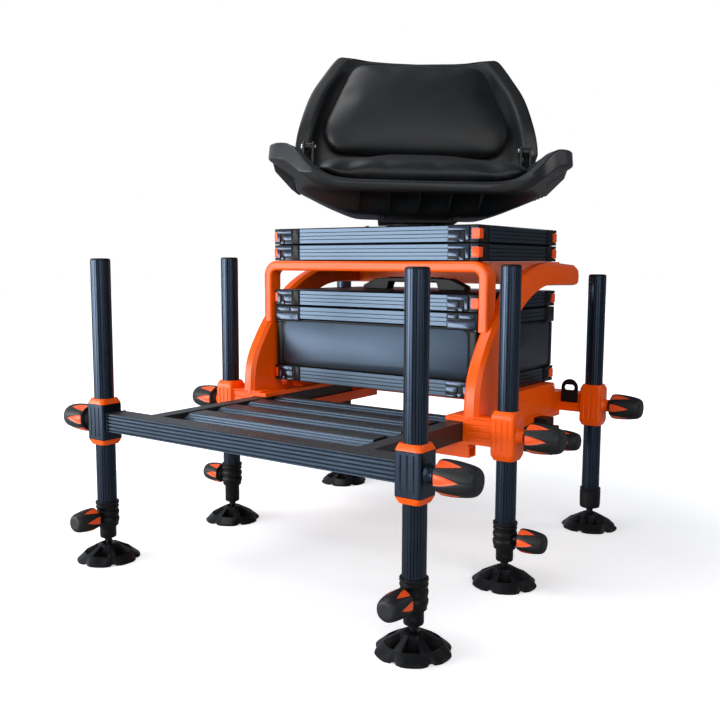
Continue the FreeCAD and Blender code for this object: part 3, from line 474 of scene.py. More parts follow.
# %% Grooved bar tree
# Section: a rectangle whose long side is cut into steps; one point in four is pushed in.
# The bars are repeated along Y by instances on a line of points.
bar_tree, given, out = new_tree("grooved_bars",
                                ["Width", "Thickness", "Length", "Groove Count", "Groove Depth",
                                 "Bar Count", "Pitch"])
cuts = add_node(bar_tree, "ShaderNodeMath", {0: given["Groove Count"], 1: 4.0, 2: 3.0},
                operation="MULTIPLY_ADD")
outline = add_node(bar_tree, "GeometryNodeCurvePrimitiveQuadrilateral",
                   {"Width": given["Width"], "Height": given["Thickness"]})
stepped = add_node(bar_tree, "GeometryNodeSubdivideCurve", {"Curve": outline, "Cuts": cuts})
position = add_node(bar_tree, "GeometryNodeInputPosition")
spot = add_node(bar_tree, "ShaderNodeSeparateXYZ", {"Vector": position})
half = add_node(bar_tree, "ShaderNodeMath", {0: given["Thickness"], 1: 0.499}, operation="MULTIPLY")
on_top = add_node(bar_tree, "ShaderNodeMath", {0: spot.outputs["Y"], 1: half}, operation="GREATER_THAN")
index = add_node(bar_tree, "GeometryNodeInputIndex")
quarter = add_node(bar_tree, "ShaderNodeMath", {0: index, 1: 4.0}, operation="MODULO")
is_second = add_node(bar_tree, "ShaderNodeMath", {0: quarter, 1: 2.0, 2: 0.5}, operation="COMPARE")
chosen = add_node(bar_tree, "ShaderNodeMath", {0: on_top, 1: is_second}, operation="MULTIPLY")
depth = add_node(bar_tree, "ShaderNodeMath", {0: given["Groove Depth"], 1: -1.0}, operation="MULTIPLY")
dip = add_node(bar_tree, "ShaderNodeCombineXYZ", {"Y": depth})
section = add_node(bar_tree, "GeometryNodeSetPosition", {
    "Geometry": stepped, "Selection": chosen, "Offset": dip})
back = add_node(bar_tree, "ShaderNodeMath", {0: given["Length"], 1: -0.5}, operation="MULTIPLY")
front = add_node(bar_tree, "ShaderNodeMath", {0: given["Length"], 1: 0.5}, operation="MULTIPLY")
rear_point = add_node(bar_tree, "ShaderNodeCombineXYZ", {"Z": back})
front_point = add_node(bar_tree, "ShaderNodeCombineXYZ", {"Z": front})
run = add_node(bar_tree, "GeometryNodeCurvePrimitiveLine",
               {"Start": rear_point, "End": front_point})
swept = add_node(bar_tree, "GeometryNodeCurveToMesh", {
    "Curve": run, "Profile Curve": section, "Fill Caps": True})
stride = add_node(bar_tree, "ShaderNodeCombineXYZ", {"X": given["Pitch"]})
row = add_node(bar_tree, "GeometryNodeMeshLine", {"Count": given["Bar Count"], "Offset": stride})
copies = add_node(bar_tree, "GeometryNodeInstanceOnPoints", {"Points": row, "Instance": swept})
ended(bar_tree, copies, given, out)
print(bar_tree.name, len(bar_tree.nodes), "nodes")

# %% [markdown]
# ## Legs
#
# Each leg is a 36 mm fluted tube with a push-in cap. The four front ones end in a clamp collar
# with three rings, through which a plain inner tube slides; the two rear ones end in a ferrule.
# Tube from the tree, cap, collar and ferrule turned from profiles.

# %% Legs
sides = (("left", -1), ("right", 1))
# Where each leg stands, the height of its top, and the way that its own knob looks.
legs = {
    "plate_leg_left": (-341, -543.5, 562, (0, -1, 0)), "plate_leg_right": (341, -543.5, 551, (0, -1, 0)),
    "front_leg_left": (-327.5, -221, 566, (-1, 0, 0)), "front_leg_right": (327.5, -221, 554, (1, 0, 0)),
    "rear_leg_left": (-327.5, 188.5, 534, None), "rear_leg_right": (327.5, 188.5, 534, None),
}
drawn_out = {"front_leg_left": 14}
leg_radius, inner_radius, ball_height = 18, 15.2, 18
collar_foot, collar_length, collar_boss_height = 64, 48, 20
ferrule_foot, ferrule_top = 44, 86
# Profiles of the turned parts, as (distance along, radius).
cap = [(-1, 16), (0, 17.6), (1.6, 17.6), (3.0, 16.6), (3.8, 14), (4, 10), (4, 1)]
collar = [(0, 15.3), (0, 18.4), (1, 19.4), (6, 19.8), (9, 21), (14, 21.5), (17, 20.6), (18.5, 19.2),
          (20.5, 19.2), (22, 20.8), (26, 21.5), (30, 20.8), (31.5, 19.2), (33.5, 19.2), (35, 20.6),
          (38, 21.3), (39.5, 19.6), (41.5, 19.4), (42.5, 21), (43.5, 21.5), (47, 21.5), (48, 20.7),
          (48, 17)]
ferrule = [(0, 6), (0, 19.5), (1, 20.5), (10, 21.3), (36, 21.5), (37.5, 20.3), (38.5, 20.3), (39.5, 21.5),
           (41, 21.5), (42, 20.8), (42, 17)]
ball_end = [(-9, 0.6), (-8, 4.1), (-5, 7.5), (0, 9), (5, 7.5), (7, 5.6), (7.5, 5), (16, 5), (17, 6.8),
            (22, 6.8), (23, 8)]
up = (0, 0, 1)
for name, (x, y, top, knob_way) in legs.items():
    if knob_way:
        low = collar_foot + drawn_out.get(name, 0)
        tube_end = low + collar_length
        fitting = [turned(collar, place(x, y, low), up, 64)]
        collar_boss = [(16, 8.5), (24, 8.3), (25, 7.6), (25, 3.2)]
        fitting.append(turned(collar_boss, place(x, y, low + collar_boss_height), knob_way, 32))
    else:
        tube_end = ferrule_top
        fitting = [turned(ferrule, place(x, y, ferrule_foot), up, 64)]
        fitting.append(turned(ball_end + [(26, 8)], place(x, y, ball_height), up, 32))
        screw = [(18, 4.4), (21.6, 4.4), (22.0, 3.6), (21.4, 3.0), (21.4, 0.4)]
        fitting.append(turned(screw, place(x, y, 62), (0.4, -0.92, 0), 20))
    tube = grown(tube_tree, name + "_tube", {
        "Radius": leg_radius / 1000, "Flute Count": 24, "Flute Depth": 0.0008,
        "Bottom": tube_end / 1000, "Top": top / 1000}, anodised, Matrix.Translation(place(x, y, 0)))
    settled(tube, name, "black_anodised", name)
    fitting.append(turned(cap, place(x, y, top), up, 48))
    built(name + "_fittings", fitting, moulded, name, "black_anodised")
    if knob_way:
        inner = [(282, 0.5), (282, 13.5), (281, inner_radius), (26, inner_radius), (24, 14.2), (23, 12),
                 (23, 6.8)]
        inner += ball_end[-2:3:-1] + ball_end[3::-1]
        inner = turned(list(reversed(inner)), place(x, y, ball_height), up, 48)
        screw = [(12, 4.0), (15.4, 4.0), (15.9, 3.4), (15.2, 2.8), (15.2, 0.4)]
        screw = turned(screw, place(x, y, 53), (0.55, -0.83, 0), 20)
        built(name + "_ball_tube", [inner, screw], moulded, name + "_inner",
                "black_anodised", name + "_inner")
print("legs", len(legs))

# %% [markdown]
# ## Feet
#
# A mud foot is a shallow moulded cone: six lobes round the rim, a deep pocket in each, broad
# ribs between them and a wide bevel at the rim, with a socket for the ball. Its height depends
# only on the angle and the distance from the middle, so a polar grid with a height function
# gives the form in one go.

# %% Feet
def step(low, high, value):
    """A smooth step from 0 to 1."""
    t = min(max((value - low) / (high - low), 0), 1)
    return t * t * (3 - 2 * t)


def foot_height(radius, angle):
    """Height of the foot's top at a radius, and an angle from the middle of a lobe in degrees."""
    near_rib = step(19, 22, angle)
    cone = 29.6 - (radius - 17) * 0.54 + 0.5 * near_rib
    if radius > 43.6:
        return 15.4 + 0.5 * near_rib - (radius - 43) * 0.82
    pocket = step(18, 20, radius) * (1 - step(41, 43, radius)) * (1 - step(16.5, 20, angle))
    return cone * (1 - pocket) + 5.5 * pocket


def mud_foot(x, y):
    """One foot: the grid over the top, a bevelled rim and a flat sole with the ball's socket."""
    count, rings, lobe = 120, [], 60
    grid = [12.6, 14, 17, 18, 19, 20, 22, 26, 30, 34, 38, 40.5, 41.3, 42.1, 43, 43.7, 47, 51, 55.4]
    rim = [(57.0, 3.9), (57.6, 3.0), (57.6, 0.9), (56.8, 0.0), (50, 0.0), (30, 0.0), (9.2, 0.0), (9.2, 20),
           (8.8, 24)]
    for radius, height in [(r, None) for r in grid] + rim:
        ring = []
        for i in range(count):
            a = 360 * i / count
            from_lobe = abs((a + lobe / 2) % lobe - lobe / 2)
            z = height
            if height is None:
                z = 30.8 if radius < 16 else foot_height(radius, from_lobe)
            inward = 0.045 * step(14, 24, from_lobe) + 0.035 * step(25, 28, from_lobe)
            notch = step(25, 28, from_lobe) * step(44, 54, radius) * (z < 1)
            reach = radius * (1 - inward * step(44, 56, radius))
            ring.append(place(x + reach * cos(radians(a)), y + reach * sin(radians(a)), z + 3.2 * notch))
        rings.append(ring)
    return skin(rings, closed=True)


for name, (x, y, top, knob_way) in legs.items():
    built(name + "_mud_foot", [mud_foot(x, y)], moulded, name + "_foot", "foot_rubber", name + "_foot",
          angle=26)
print("feet", len(legs))

# %% [markdown]
# ## Knobs
#
# The grips taper towards the outer end and close in a flat cap with a round edge. Six flutes
# run along them, and an orange window lies in each, wide at the clamp and pointed outwards.
# The flutes are a wave in the radius, and the UV map drives the windows in the material.

# %% Knobs
def knob(name, centre, direction, length, radius, screw_radius, screw_length):
    """A grip from its inner face outwards, with its screw, and the UV map of its windows."""
    z = Vector(direction).normalized()
    x = Vector((0, 0, 1))
    y = z.cross(x)
    around = 120
    # Share of the length, and the knob's size there as a share of its radius.
    shape = [(0.0, 0.66), (0.0, 0.88), (0.015, 0.93), (0.05, 0.965), (0.1, 0.99), (0.2, 1.0), (0.3, 0.995),
             (0.42, 0.98), (0.54, 0.955), (0.66, 0.92), (0.77, 0.88), (0.85, 0.84), (0.91, 0.79),
             (0.955, 0.725), (0.985, 0.65), (1.0, 0.55), (1.0, 0.40)]
    start = length * 0.09
    rings, maps = [], []
    for share, size in shape:
        rings.append([])
        for i in range(around):
            a = 2 * pi * i / around
            turn = i * window_count / around
            from_middle = abs(turn % 1 - 0.5)
            run = min(max((share - window_start) / (window_end - window_start), 0), 1)
            window = step(-0.03, 0.03, window_half - window_half * run ** window_taper - from_middle)
            flute = 1 - 0.05 * window - 0.018 * (0.5 - 0.5 * cos(2 * pi * turn)) * (1 - step(0.8, 1, share))
            r = radius * size * flute
            along = start + (length - start) * share
            rings[-1].append(centre + (z * along + (x * cos(a) + y * sin(a)) * r) / 1000)
            maps.append((turn, share))
    neck = radius * 0.5
    stem = turned([(-screw_length, 0.5), (-screw_length, screw_radius), (1, screw_radius), (1, neck * 0.9),
                   (2, neck), (start * 0.6, neck * 1.04), (start + 1, neck * 1.3)], centre, z, 32)
    piece = mesh_piece(name, *merged([skin(rings), stem]), [grip], 40)
    mesh = piece.data
    layer = mesh.uv_layers.new(name="windows")
    for face in mesh.polygons:
        turns = []
        for corner in face.loop_indices:
            v = mesh.loops[corner].vertex_index
            turns.append(maps[v] if v < len(maps) else (0.0, 1.0))
        counts = [turn for turn, share in turns]
        wraps = max(counts) - min(counts) > window_count / 2
        capped = len(turns) > 4
        for corner, (turn, share) in zip(face.loop_indices, turns):
            turn = turn + window_count if wraps and turn < window_count / 2 else turn
            layer.data[corner].uv = (0.0, 1.0) if capped else (turn, share)
    return piece


clamp_middle, boss_end = 265, 34.3
for name, (x, y, top, knob_way) in legs.items():
    side = -1 if x < 0 else 1
    piece = knob(name + "_clamp_grip", place(x + side * boss_end, y, clamp_middle), (side, 0, 0), 68, 26, 4,
                 16)
    settled(piece, name + "_clamp_knob", "knob_rubber", name + "_clamp_knob")
    if knob_way:
        reach = Vector(knob_way) * collar_boss[-1][0]
        height = collar_foot + collar_boss_height + drawn_out.get(name, 0)
        piece = knob(name + "_collar_grip", place(x + reach.x, y + reach.y, height), knob_way, 50, 21, 3,
                     9.5)
        settled(piece, name + "_knob", "knob_rubber", name + "_knob")
for word, side in sides:
    piece = knob("lock_grip_" + word, place(side * 300, 58, 208), (side, 0, 0), 50, 21, 4, 60)
    settled(piece, "lock_knob_" + word, "knob_rubber", "lock_knob_" + word)
print("knobs 12")

# %% [markdown]
# ## Leg clamps
#
# Each leg passes through a cast clamp: a square body with rounded corners, three grooves down
# its front and back, tapered ends, and a conical boss for the screw of its knob. The frame's
# clamps are orange all over; those of the footplate are black with orange end collars. One
# function lofts rounded squares up the leg and closes the ring with the bore.

# %% Clamps
def clamp_ring(x, y, z, half, corner, groove):
    """A rounded square round a leg, with three groove points on its front and back faces."""
    run = half - corner
    lateral = [-1, -0.70, -0.62, -0.54, -0.08, 0, 0.08, 0.54, 0.62, 0.70, 1]
    ring = []
    for quarter_turns in range(4):
        c, s = round(cos(quarter_turns * pi / 2)), round(sin(quarter_turns * pi / 2))
        spots = []
        for k, share in enumerate(lateral):
            deep = groove if k in (2, 5, 8) and quarter_turns % 2 == 0 else 0
            spots.append((share * run, -half + deep))
        for k in range(1, 6):
            a = -pi / 2 + k * pi / 12
            spots.append((run + corner * cos(a), -run + corner * sin(a)))
        ring += [place(x + px * c - py * s, y + px * s + py * c, z) for px, py in spots]
    return ring


def bore_ring(x, y, z, like):
    """The bore's ring, point for point under a ring of the outside."""
    middle, bore = place(x, y, 0), leg_radius + 0.1
    angles = [atan2(p.y - middle.y, p.x - middle.x) for p in like]
    return [place(x + bore * cos(a), y + bore * sin(a), z) for a in angles]


def clamp_loft(x, y, levels):
    """Clamp rings up the leg, closed by the bore's rings at both ends."""
    rings = [clamp_ring(x, y, *level) for level in levels]
    rings += [bore_ring(x, y, levels[-1][0], rings[-1]), bore_ring(x, y, levels[0][0], rings[0])]
    return skin(rings, closed=True)


# Levels of the lofts: height, half the width, corner radius, groove depth.
lower_end = [(222, 19.0, 8, 0), (223.2, 19.6, 8, 0), (229.5, 21.9, 6, 0), (231.6, 22.3, 5, 0)]
upper_end = [(2 * clamp_middle - z, *rest) for z, *rest in reversed(lower_end)]
body_levels = [(232, 21.9, 4.5, 0), (232.6, 22.3, 4.5, 0), (237, 22.3, 4.5, 0), (239, 22.3, 4.5, 1.5),
               (291, 22.3, 4.5, 1.5), (293, 22.3, 4.5, 0), (297.4, 22.3, 4.5, 0), (298, 21.9, 4.5, 0)]
boss = [(20, 16.5), (22.3, 16.3), (24, 15.0), (28, 12.8), (33.6, 12.4), (boss_end, 11.8), (boss_end, 4.1)]
frame_parts, body_parts, collar_parts = [], [], []
for name, (x, y, top, knob_way) in legs.items():
    side = -1 if x < 0 else 1
    bosses = turned(boss, place(x, y, clamp_middle), (side, 0, 0), 40)
    if name.startswith("plate"):
        body_parts += [clamp_loft(x, y, body_levels), bosses]
        collar_parts += [clamp_loft(x, y, lower_end), clamp_loft(x, y, upper_end)]
    else:
        frame_parts += [clamp_loft(x, y, lower_end + body_levels[2:6] + upper_end), bosses]
built("frame_clamp_castings", frame_parts, orange_coat, "root", "orange_paint", "frame_clamps")
built("plate_clamp_castings", body_parts, anodised, "footplate", "black_rail", "plate_clamps")
built("plate_clamp_collars", collar_parts, orange_coat, "footplate", "orange_paint")
print("clamps", len(frame_parts) // 2 + len(body_parts) // 2)

# %% [markdown]
# ## Frame
#
# Rails, arms and beams are welded steel. Their CAD solids already have the right form, so each
# gets a copy with softened edges, about 1.5 mm on folded plate.

# %% Frame pieces
for node, width in (("side_rail_left", 1.4), ("side_rail_right", 1.4), ("frame_cross_members", 1.6)):
    settled(softened(node, node + "_painted", orange_coat, width), "root", "orange_paint", node)
settled(softened("strap_loop", "strap_loop_coated", moulded, 0.9), "root", "orange_paint", "strap_loop")
settled(softened("plate_lock_blocks", "lock_housings", moulded, 1.6), "root", "black_plastic",
        "plate_lock_blocks")
print("frame pieces 5")

# %% [markdown]
# ## Arches and hoop
#
# An arch is a casting with a broad curved front, bevelled on both sides, two openings near its
# foot, and a handle that runs back from its top. Rings of its outline, drawn in at both faces,
# make the bevels; then the openings are cut away and the edges rounded. The hoop is drawn
# tube: a rounded rectangle of 20 by 34 mm carried up one side, over and down the other, its
# ends sunk into the arches.

# %% Arches
def through(a, b, c, count):
    """Points from a to c along the circle through a, b and c, without the last."""
    (ax, ay), (bx, by), (cx, cy) = a, b, c
    d = 2 * (ax * (by - cy) + bx * (cy - ay) + cx * (ay - by))
    sa, sb, sc = ax * ax + ay * ay, bx * bx + by * by, cx * cx + cy * cy
    ux = (sa * (by - cy) + sb * (cy - ay) + sc * (ay - by)) / d
    uy = (sa * (cx - bx) + sb * (ax - cx) + sc * (bx - ax)) / d
    r = sqrt((ax - ux) ** 2 + (ay - uy) ** 2)
    first, last = atan2(ay - uy, ax - ux), atan2(cy - uy, cx - ux)
    sweep = (last - first + pi) % (2 * pi) - pi
    angles = [first + sweep * k / count for k in range(count)]
    return [(ux + r * cos(angle), uy + r * sin(angle)) for angle in angles]


def spread(line, count):
    """The polyline's points at even steps of its length."""
    line = [Vector(p) for p in line]
    lengths = [(q - p).length for p, q in zip(line, line[1:])]
    total, result = sum(lengths), []
    for k in range(count):
        left, at = total * k / (count - 1), 0
        while at < len(lengths) - 1 and left > lengths[at]:
            left -= lengths[at]
            at += 1
        result.append(line[at].lerp(line[at + 1], min(left / lengths[at], 1)))
    return result


front_edge = [(-239.5, 288)] + through((-238.5, 312), (-232.5, 351), (-211, 395), 8)
front_edge += through((-211, 395), (-169, 451), (-112, 503), 10)
front_edge += through((-112, 503), (-72, 526), (-32, 542), 8)
front_edge += through((-32, 542), (30, 558), (90, 562), 8) + [(90, 562), (198, 556.6)]
front_edge += through((198, 556.6), (208.5, 552), (212, 542), 6) + [(212, 542)]
rear_edge = [(-104, 288), (-122, 360)] + through((-122, 360), (-112, 420), (-69, 470), 10)
rear_edge += through((-69, 470), (-16, 498), (62, 516), 10) + [(62, 516), (202, 514)]
rear_edge += through((202, 514), (209.5, 517), (212, 526), 5) + [(212, 526)]
stations = 60
outer_line, inner_line = spread(front_edge, stations), spread(rear_edge, stations)


def prism(outline, x0, x1):
    """A solid between two planes across X, from an outline of (y, z) points."""
    return skin([[place(x, p[0], p[1]) for p in outline] for x in (x0, x1)])


def cut_from(piece, cutters):
    """The piece's mesh with other solids taken out of it one by one, as a new plain mesh."""
    name, materials = piece.name, list(piece.data.materials)
    for cutter in cutters:
        tool = mesh_piece("tool", *cutter, [])
        cut = piece.modifiers.new("cut", "BOOLEAN")
        cut.operation, cut.solver, cut.object = "DIFFERENCE", "EXACT", tool
        bpy.context.view_layer.update()
        mesh = final_mesh(piece)
        bpy.data.objects.remove(tool)
        piece.modifiers.clear()
        piece.data = mesh
    bpy.data.objects.remove(piece)
    mesh.materials.clear()
    return dressed(name, mesh, materials, 30)


def edged(piece, width, segments):
    """Rounds every hard edge of a piece by a width in mm."""
    bevel = piece.modifiers.new("soft edges", "BEVEL")
    bevel.width, bevel.segments = width / 1000, segments
    bevel.limit_method, bevel.angle_limit, bevel.harden_normals = "ANGLE", radians(30), True
    return piece


arch_inside, arch_outside, arch_bevel = 247.5, 277.5, 7.0
d_slot = [(-143, 322), (-128, 325), (-126, 334), (-128, 352), (-133, 361), (-141, 360), (-150, 352),
          (-149, 330)]
eye = [(-136 + 11 * cos(k * pi / 12), 304 + 11 * sin(k * pi / 12)) for k in range(24)]


def arch_ring(x, inset):
    """The arch's outline in a plane across X, its front edge drawn in by the inset."""
    fronts, rears = [], []
    for a, b in zip(outer_line, inner_line):
        fronts.append(a.lerp(b, inset / (b - a).length))
        rears.append(b.lerp(a, 0.4 * inset / (b - a).length))
    return [place(x, p.x, p.y) for p in fronts + rears[::-1]]


for word, side in sides:
    levels = [(arch_inside, arch_bevel), (arch_inside + arch_bevel, 0)]
    levels += [(arch_inside + arch_outside - x, inset) for x, inset in reversed(levels)]
    solid = mesh_piece("arch_" + word + "_cast", *skin([arch_ring(side * x, inset) for x, inset in levels]),
                       [orange_coat])
    solid = cut_from(solid, [prism(d_slot, side * 240, side * 290), prism(eye, side * 240, side * 290)])
    settled(edged(solid, 0.9, 2), "root", "orange_paint", "arch_" + word)
foot_plates = [slab(side * 226, side * 305, -238.5, -205, 290, 293.2, 0.8, 2) for side in (-1, 1)]
built("arch_foot_plates", foot_plates, orange_coat, "root", "orange_paint")
print("arches 2, points in the outline", 2 * stations)

# %% Hoop
hoop_y, hoop_foot, bend_x, bend_z, bend_radius = -165.5, 436, 233, 531, 22
half_thin, half_deep, tube_corner = 10, 17, 5
leg_x = bend_x + bend_radius
path = [(-leg_x, hoop_foot, -1, 0)]
for middle_x, first_angle in ((-bend_x, 180), (bend_x, 90)):
    for k in range(11):
        angle = radians(first_angle - k * 9)
        out_x, out_z = cos(angle), sin(angle)
        path.append((middle_x + bend_radius * out_x, bend_z + bend_radius * out_z, out_x, out_z))
path.append((leg_x, hoop_foot, 1, 0))
flat_thin, flat_deep = half_thin - tube_corner, half_deep - tube_corner
section = [(a * flat_thin + tube_corner * x, b * flat_deep + tube_corner * y)
           for a, b, x, y in corner_arcs()]
rings = [[place(x + out_x * across, hoop_y + along, z + out_z * across) for across, along in section]
         for x, z, out_x, out_z in path]
built("front_hoop_tube", [skin(rings)], orange_coat, "root", "orange_paint", "front_hoop", angle=40)
print("hoop rings", len(rings))

# %% [markdown]
# ## Weld beads
#
# A bead of weld is a row of overlapping drops along a joint. That is a path with something
# repeated on it: the tree resamples a line at a fixed pitch, puts a flattened ball on each
# point, sized a little at random with a fixed seed, and makes the result one mesh.

# %% Weld beads
weld_tree, given, out = new_tree("weld_bead",
                                 ["From X", "From Y", "From Z", "To X", "To Y", "To Z", "Drop Size",
                                  "Pitch"])
start = add_node(weld_tree, "ShaderNodeCombineXYZ",
                 {"X": given["From X"], "Y": given["From Y"], "Z": given["From Z"]})
end = add_node(weld_tree, "ShaderNodeCombineXYZ",
               {"X": given["To X"], "Y": given["To Y"], "Z": given["To Z"]})
seam = add_node(weld_tree, "GeometryNodeCurvePrimitiveLine", {"Start": start, "End": end})
drops = add_node(weld_tree, "GeometryNodeResampleCurve", {"Curve": seam, "Length": given["Pitch"]},
                 mode="LENGTH")
ball = add_node(weld_tree, "GeometryNodeMeshUVSphere",
                {"Segments": 10, "Rings": 6, "Radius": given["Drop Size"]})
uneven = add_node(weld_tree, "FunctionNodeRandomValue", {2: 0.85, 3: 1.12, "Seed": 7})
beads = add_node(weld_tree, "GeometryNodeInstanceOnPoints", {
    "Points": drops, "Instance": ball, "Scale": uneven.outputs[1]})
ended(weld_tree, beads, given, out)


def weld(name, body, material, slot, seams):
    """Beads along several seams, each from one point to another, as one piece on a body."""
    meshes = []
    for a, b in seams:
        a, b = place(*a), place(*b)
        values = {"From X": a.x, "From Y": a.y, "From Z": a.z, "To X": b.x, "To Y": b.y, "To Z": b.z,
                  "Drop Size": 0.0021, "Pitch": 0.0026}
        meshes.append(grown(weld_tree, name, values, material, angle=80))
    with bpy.context.temp_override(active_object=meshes[0], selected_editable_objects=meshes):
        bpy.ops.object.join()
    return settled(meshes[0], body, slot)


seams = []
for side in (-1, 1):
    x = side * 318.2
    seams += [((x, -557.3, 250), (x, -557.3, 280)), ((x, -556, 281), (x, -515, 281))]
weld("footplate_welds", "footplate", anodised, "black_rail", seams)
seams = []
for side in (-1, 1):
    for y in (-237.2, -204.8):
        seams.append(((side * 304.8, y, 245), (side * 304.8, y, 288)))
    for y in (172.3, 204.7):
        seams.append(((side * 304.8, y, 250), (side * 304.8, y, 287)))
    seams.append(((side * 262, -238.3, 291), (side * 303, -238.3, 291)))
weld("frame_welds", "root", orange_coat, "orange_paint", seams)
print("weld seams", 4 + len(seams))

# %% [markdown]
# ## Footplate
#
# The footplate is extruded aluminium: a front rail with four grooves along its face, two side
# rails that run back into the frame, and four slats with a flat top and a ribbed slope down
# the front, where the boot comes on. The rail comes from the tree of grooved bars. A slat's
# section is a list of corners, carried along X.

# %% Tread finish
# The tops of the rails are knurled: rows of small teeth, black anodised. Real teeth are about
# 1.5 mm apart, and they are drawn twice as coarse, so that they show.
knurl_pitch = 0.0032
tread, tree, shader = surface("knurled_black_aluminium", "#1E1E20", 0.4, Specular_IOR_Level=0.5)
where, mix, bump = mottle(tree, shader, "#1A1A1C", "#242322", (0.34, 0.48), 1.3, 50, 0.02)
spots = add_node(tree, "ShaderNodeSeparateXYZ", {"Vector": where})
rows = []
for axis in ("X", "Y"):
    scaled = add_node(tree, "ShaderNodeMath", {0: spots.outputs[axis], 1: 2 * pi / knurl_pitch},
                      operation="MULTIPLY")
    rows.append(add_node(tree, "ShaderNodeMath", {0: scaled}, operation="SINE"))
teeth = add_node(tree, "ShaderNodeMath", {0: rows[0].outputs[0], 1: rows[1].outputs[0]},
                 operation="MULTIPLY")
knurl = add_node(tree, "ShaderNodeBump", {
    "Height": teeth, "Strength": 0.7, "Distance": 0.0007, "Normal": bump.outputs["Normal"]})
tree.links.new(knurl.outputs["Normal"], shader.inputs["Normal"])
print(tread.name)

# %% Bars of the footplate
def bars(name, material, width, thickness, length, grooves, depth, count, pitch, centre, facing):
    """Grooved bars along X: facing is the way the grooved side looks, centre that of the first bar."""
    out_way = Vector(facing)
    across = out_way.cross(Vector((1, 0, 0)))
    turn = Matrix((across, out_way, Vector((1, 0, 0)))).transposed().to_4x4()
    values = {"Width": width / 1000, "Thickness": thickness / 1000, "Length": length / 1000,
              "Groove Count": grooves, "Groove Depth": depth / 1000, "Bar Count": count,
              "Pitch": pitch / 1000}
    return grown(bar_tree, name, values, material, Matrix.Translation(place(*centre)) @ turn)


half_rail = 318.5
settled(bars("front_rail_extrusion", band_alloy, 32.5, 44, 2 * half_rail, 4, 2.0, 1, 0, (0, -535.5, 264.75),
             (0, -1, 0)), "footplate", "black_rail", "plate_front_rail")


def slat(y, half_width, half_length):
    """A slat along X: a flat top, and a ribbed slope down its front where the boot comes on."""
    base, low, high = 267.5, 270.4, 280.5
    y0, y1, crest = y - half_width, y + half_width, y - half_width + 19
    rise = Vector((crest - y0, high - low))
    inward = Vector((rise.y, -rise.x)).normalized()
    section = [(y0, base), (y0, low)]
    for k in range(3):
        for share, depth in ((0.22, 0), (0.5, 2.0), (0.78, 0)):
            spot = Vector((y0, low)) + rise * (k + share) / 3 + inward * depth
            section.append((spot.x, spot.y))
    section += [(crest, high), (y1 - 0.8, high), (y1, high - 0.8), (y1, base)]
    return skin([[place(x, *p) for p in section] for x in (-half_length, half_length)])


first_slat, slat_pitch = -444.5, 82
slats = [slat(first_slat + slat_pitch * k, 29, 208) for k in range(3)] + [slat(-209.5, 18, 218)]
built("tread_slats", slats, band_alloy, "footplate", "black_rail", "plate_slats", angle=20)
spans = [(207, first_slat - 9.5 + slat_pitch * k, first_slat + 28.1 + slat_pitch * k) for k in range(3)]
tops = [slab(-x, x, y0, y1, 279.8, 281.0, 0.4) for x, y0, y1 in spans + [(217, -208, -192.5)]]
built("slat_treads", tops, tread, "footplate", "black_rail")
settled(softened("plate_side_rails", "side_rails_knurled", tread, 1.0), "footplate", "black_rail",
        "plate_side_rails")
rail_top = bars("front_rail_tread", tread, 40, 1.2, 2 * half_rail - 2, 1, 0.1, 1, 0, (0, -535.5, 281.2),
                (0, 0, 1))
settled(rail_top, "footplate", "black_rail")
print("footplate bars 5")

# %% [markdown]
# ## Case and trays
#
# Case and trays share one footprint. Their walls are extruded band with fine ribs, mitred at
# the corners. A closed wall section is carried round the four corners, which gives the
# mitres without any cutting; lids, floors and panels are slabs with rounded edges between them.

# %% Walls and slabs
half_x, half_y = 238.6, 171.3


def wall_frame(outside, low, high, thickness=5.0):
    """A wall round the footprint. outside lists (height, how far it stands out) up its face."""
    section = [(out, z) for z, out in outside] + [(-thickness, high), (-thickness, low)]
    rings = []
    for cx, cy in ((-1, -1), (1, -1), (1, 1), (-1, 1)):
        rings.append([place(cx * (half_x + out), cy * (half_y + out), z) for out, z in section])
    return skin(rings, closed=True)


def ribs_up(low, high, count, depth=1.1):
    """The face of a ribbed band: V grooves up it, and a foot and a rim that slope in to the seam."""
    face = [(low, -4.6), (low + 2.4, 0)]
    rim = high - 2.4
    pitch = (rim - low - 2.4) / (count + 1)
    for k in range(1, count + 1):
        z = low + 2.4 + k * pitch
        face += [(z - 0.65, 0), (z, -depth), (z + 0.65, 0)]
    return face + [(rim, 0), (high, -4.6)]


inner_x, inner_y = half_x - 4.9, half_y - 4.9
lid_low, tray_low = 596.6, 563.3
case_low, case_high, lid_seam = 311.0, 503.4, 470.4
band_height = 33
print("footprint", 2 * half_x, "x", 2 * half_y)

# %% Trays
lower = [wall_frame(ribs_up(tray_low, tray_low + band_height, 3), tray_low, tray_low + band_height),
         slab(-inner_x, inner_x, -inner_y, inner_y, tray_low, tray_low + 2, 0.5)]
built("lower_tray_walls", lower, band_alloy, "root", "grey_aluminium", "lower_tray")
upper = [wall_frame(ribs_up(lid_low, lid_low + band_height, 3), lid_low, lid_low + band_height),
         slab(-inner_x, inner_x, -inner_y, inner_y, lid_low + 29, lid_low + 32.4, 0.8)]
built("seat_lid_walls", upper, band_alloy, "seat_lid", "grey_aluminium", "seat_lid")
print("trays 2")

# %% Case
bottom_band = ribs_up(case_low, case_low + band_height, 3)
upper_band = ribs_up(441.5, lid_seam - 0.6, 2)
case_face = bottom_band + [(345, -2.4), (440.5, -2.4)] + upper_band
body = [wall_frame(case_face, case_low, lid_seam - 0.6),
        slab(-inner_x, inner_x, -inner_y, inner_y, case_low, case_low + 3, 0.5)]
built("case_walls", body, band_alloy, "case", "grey_aluminium", "case_body")
panels, borders = [], []
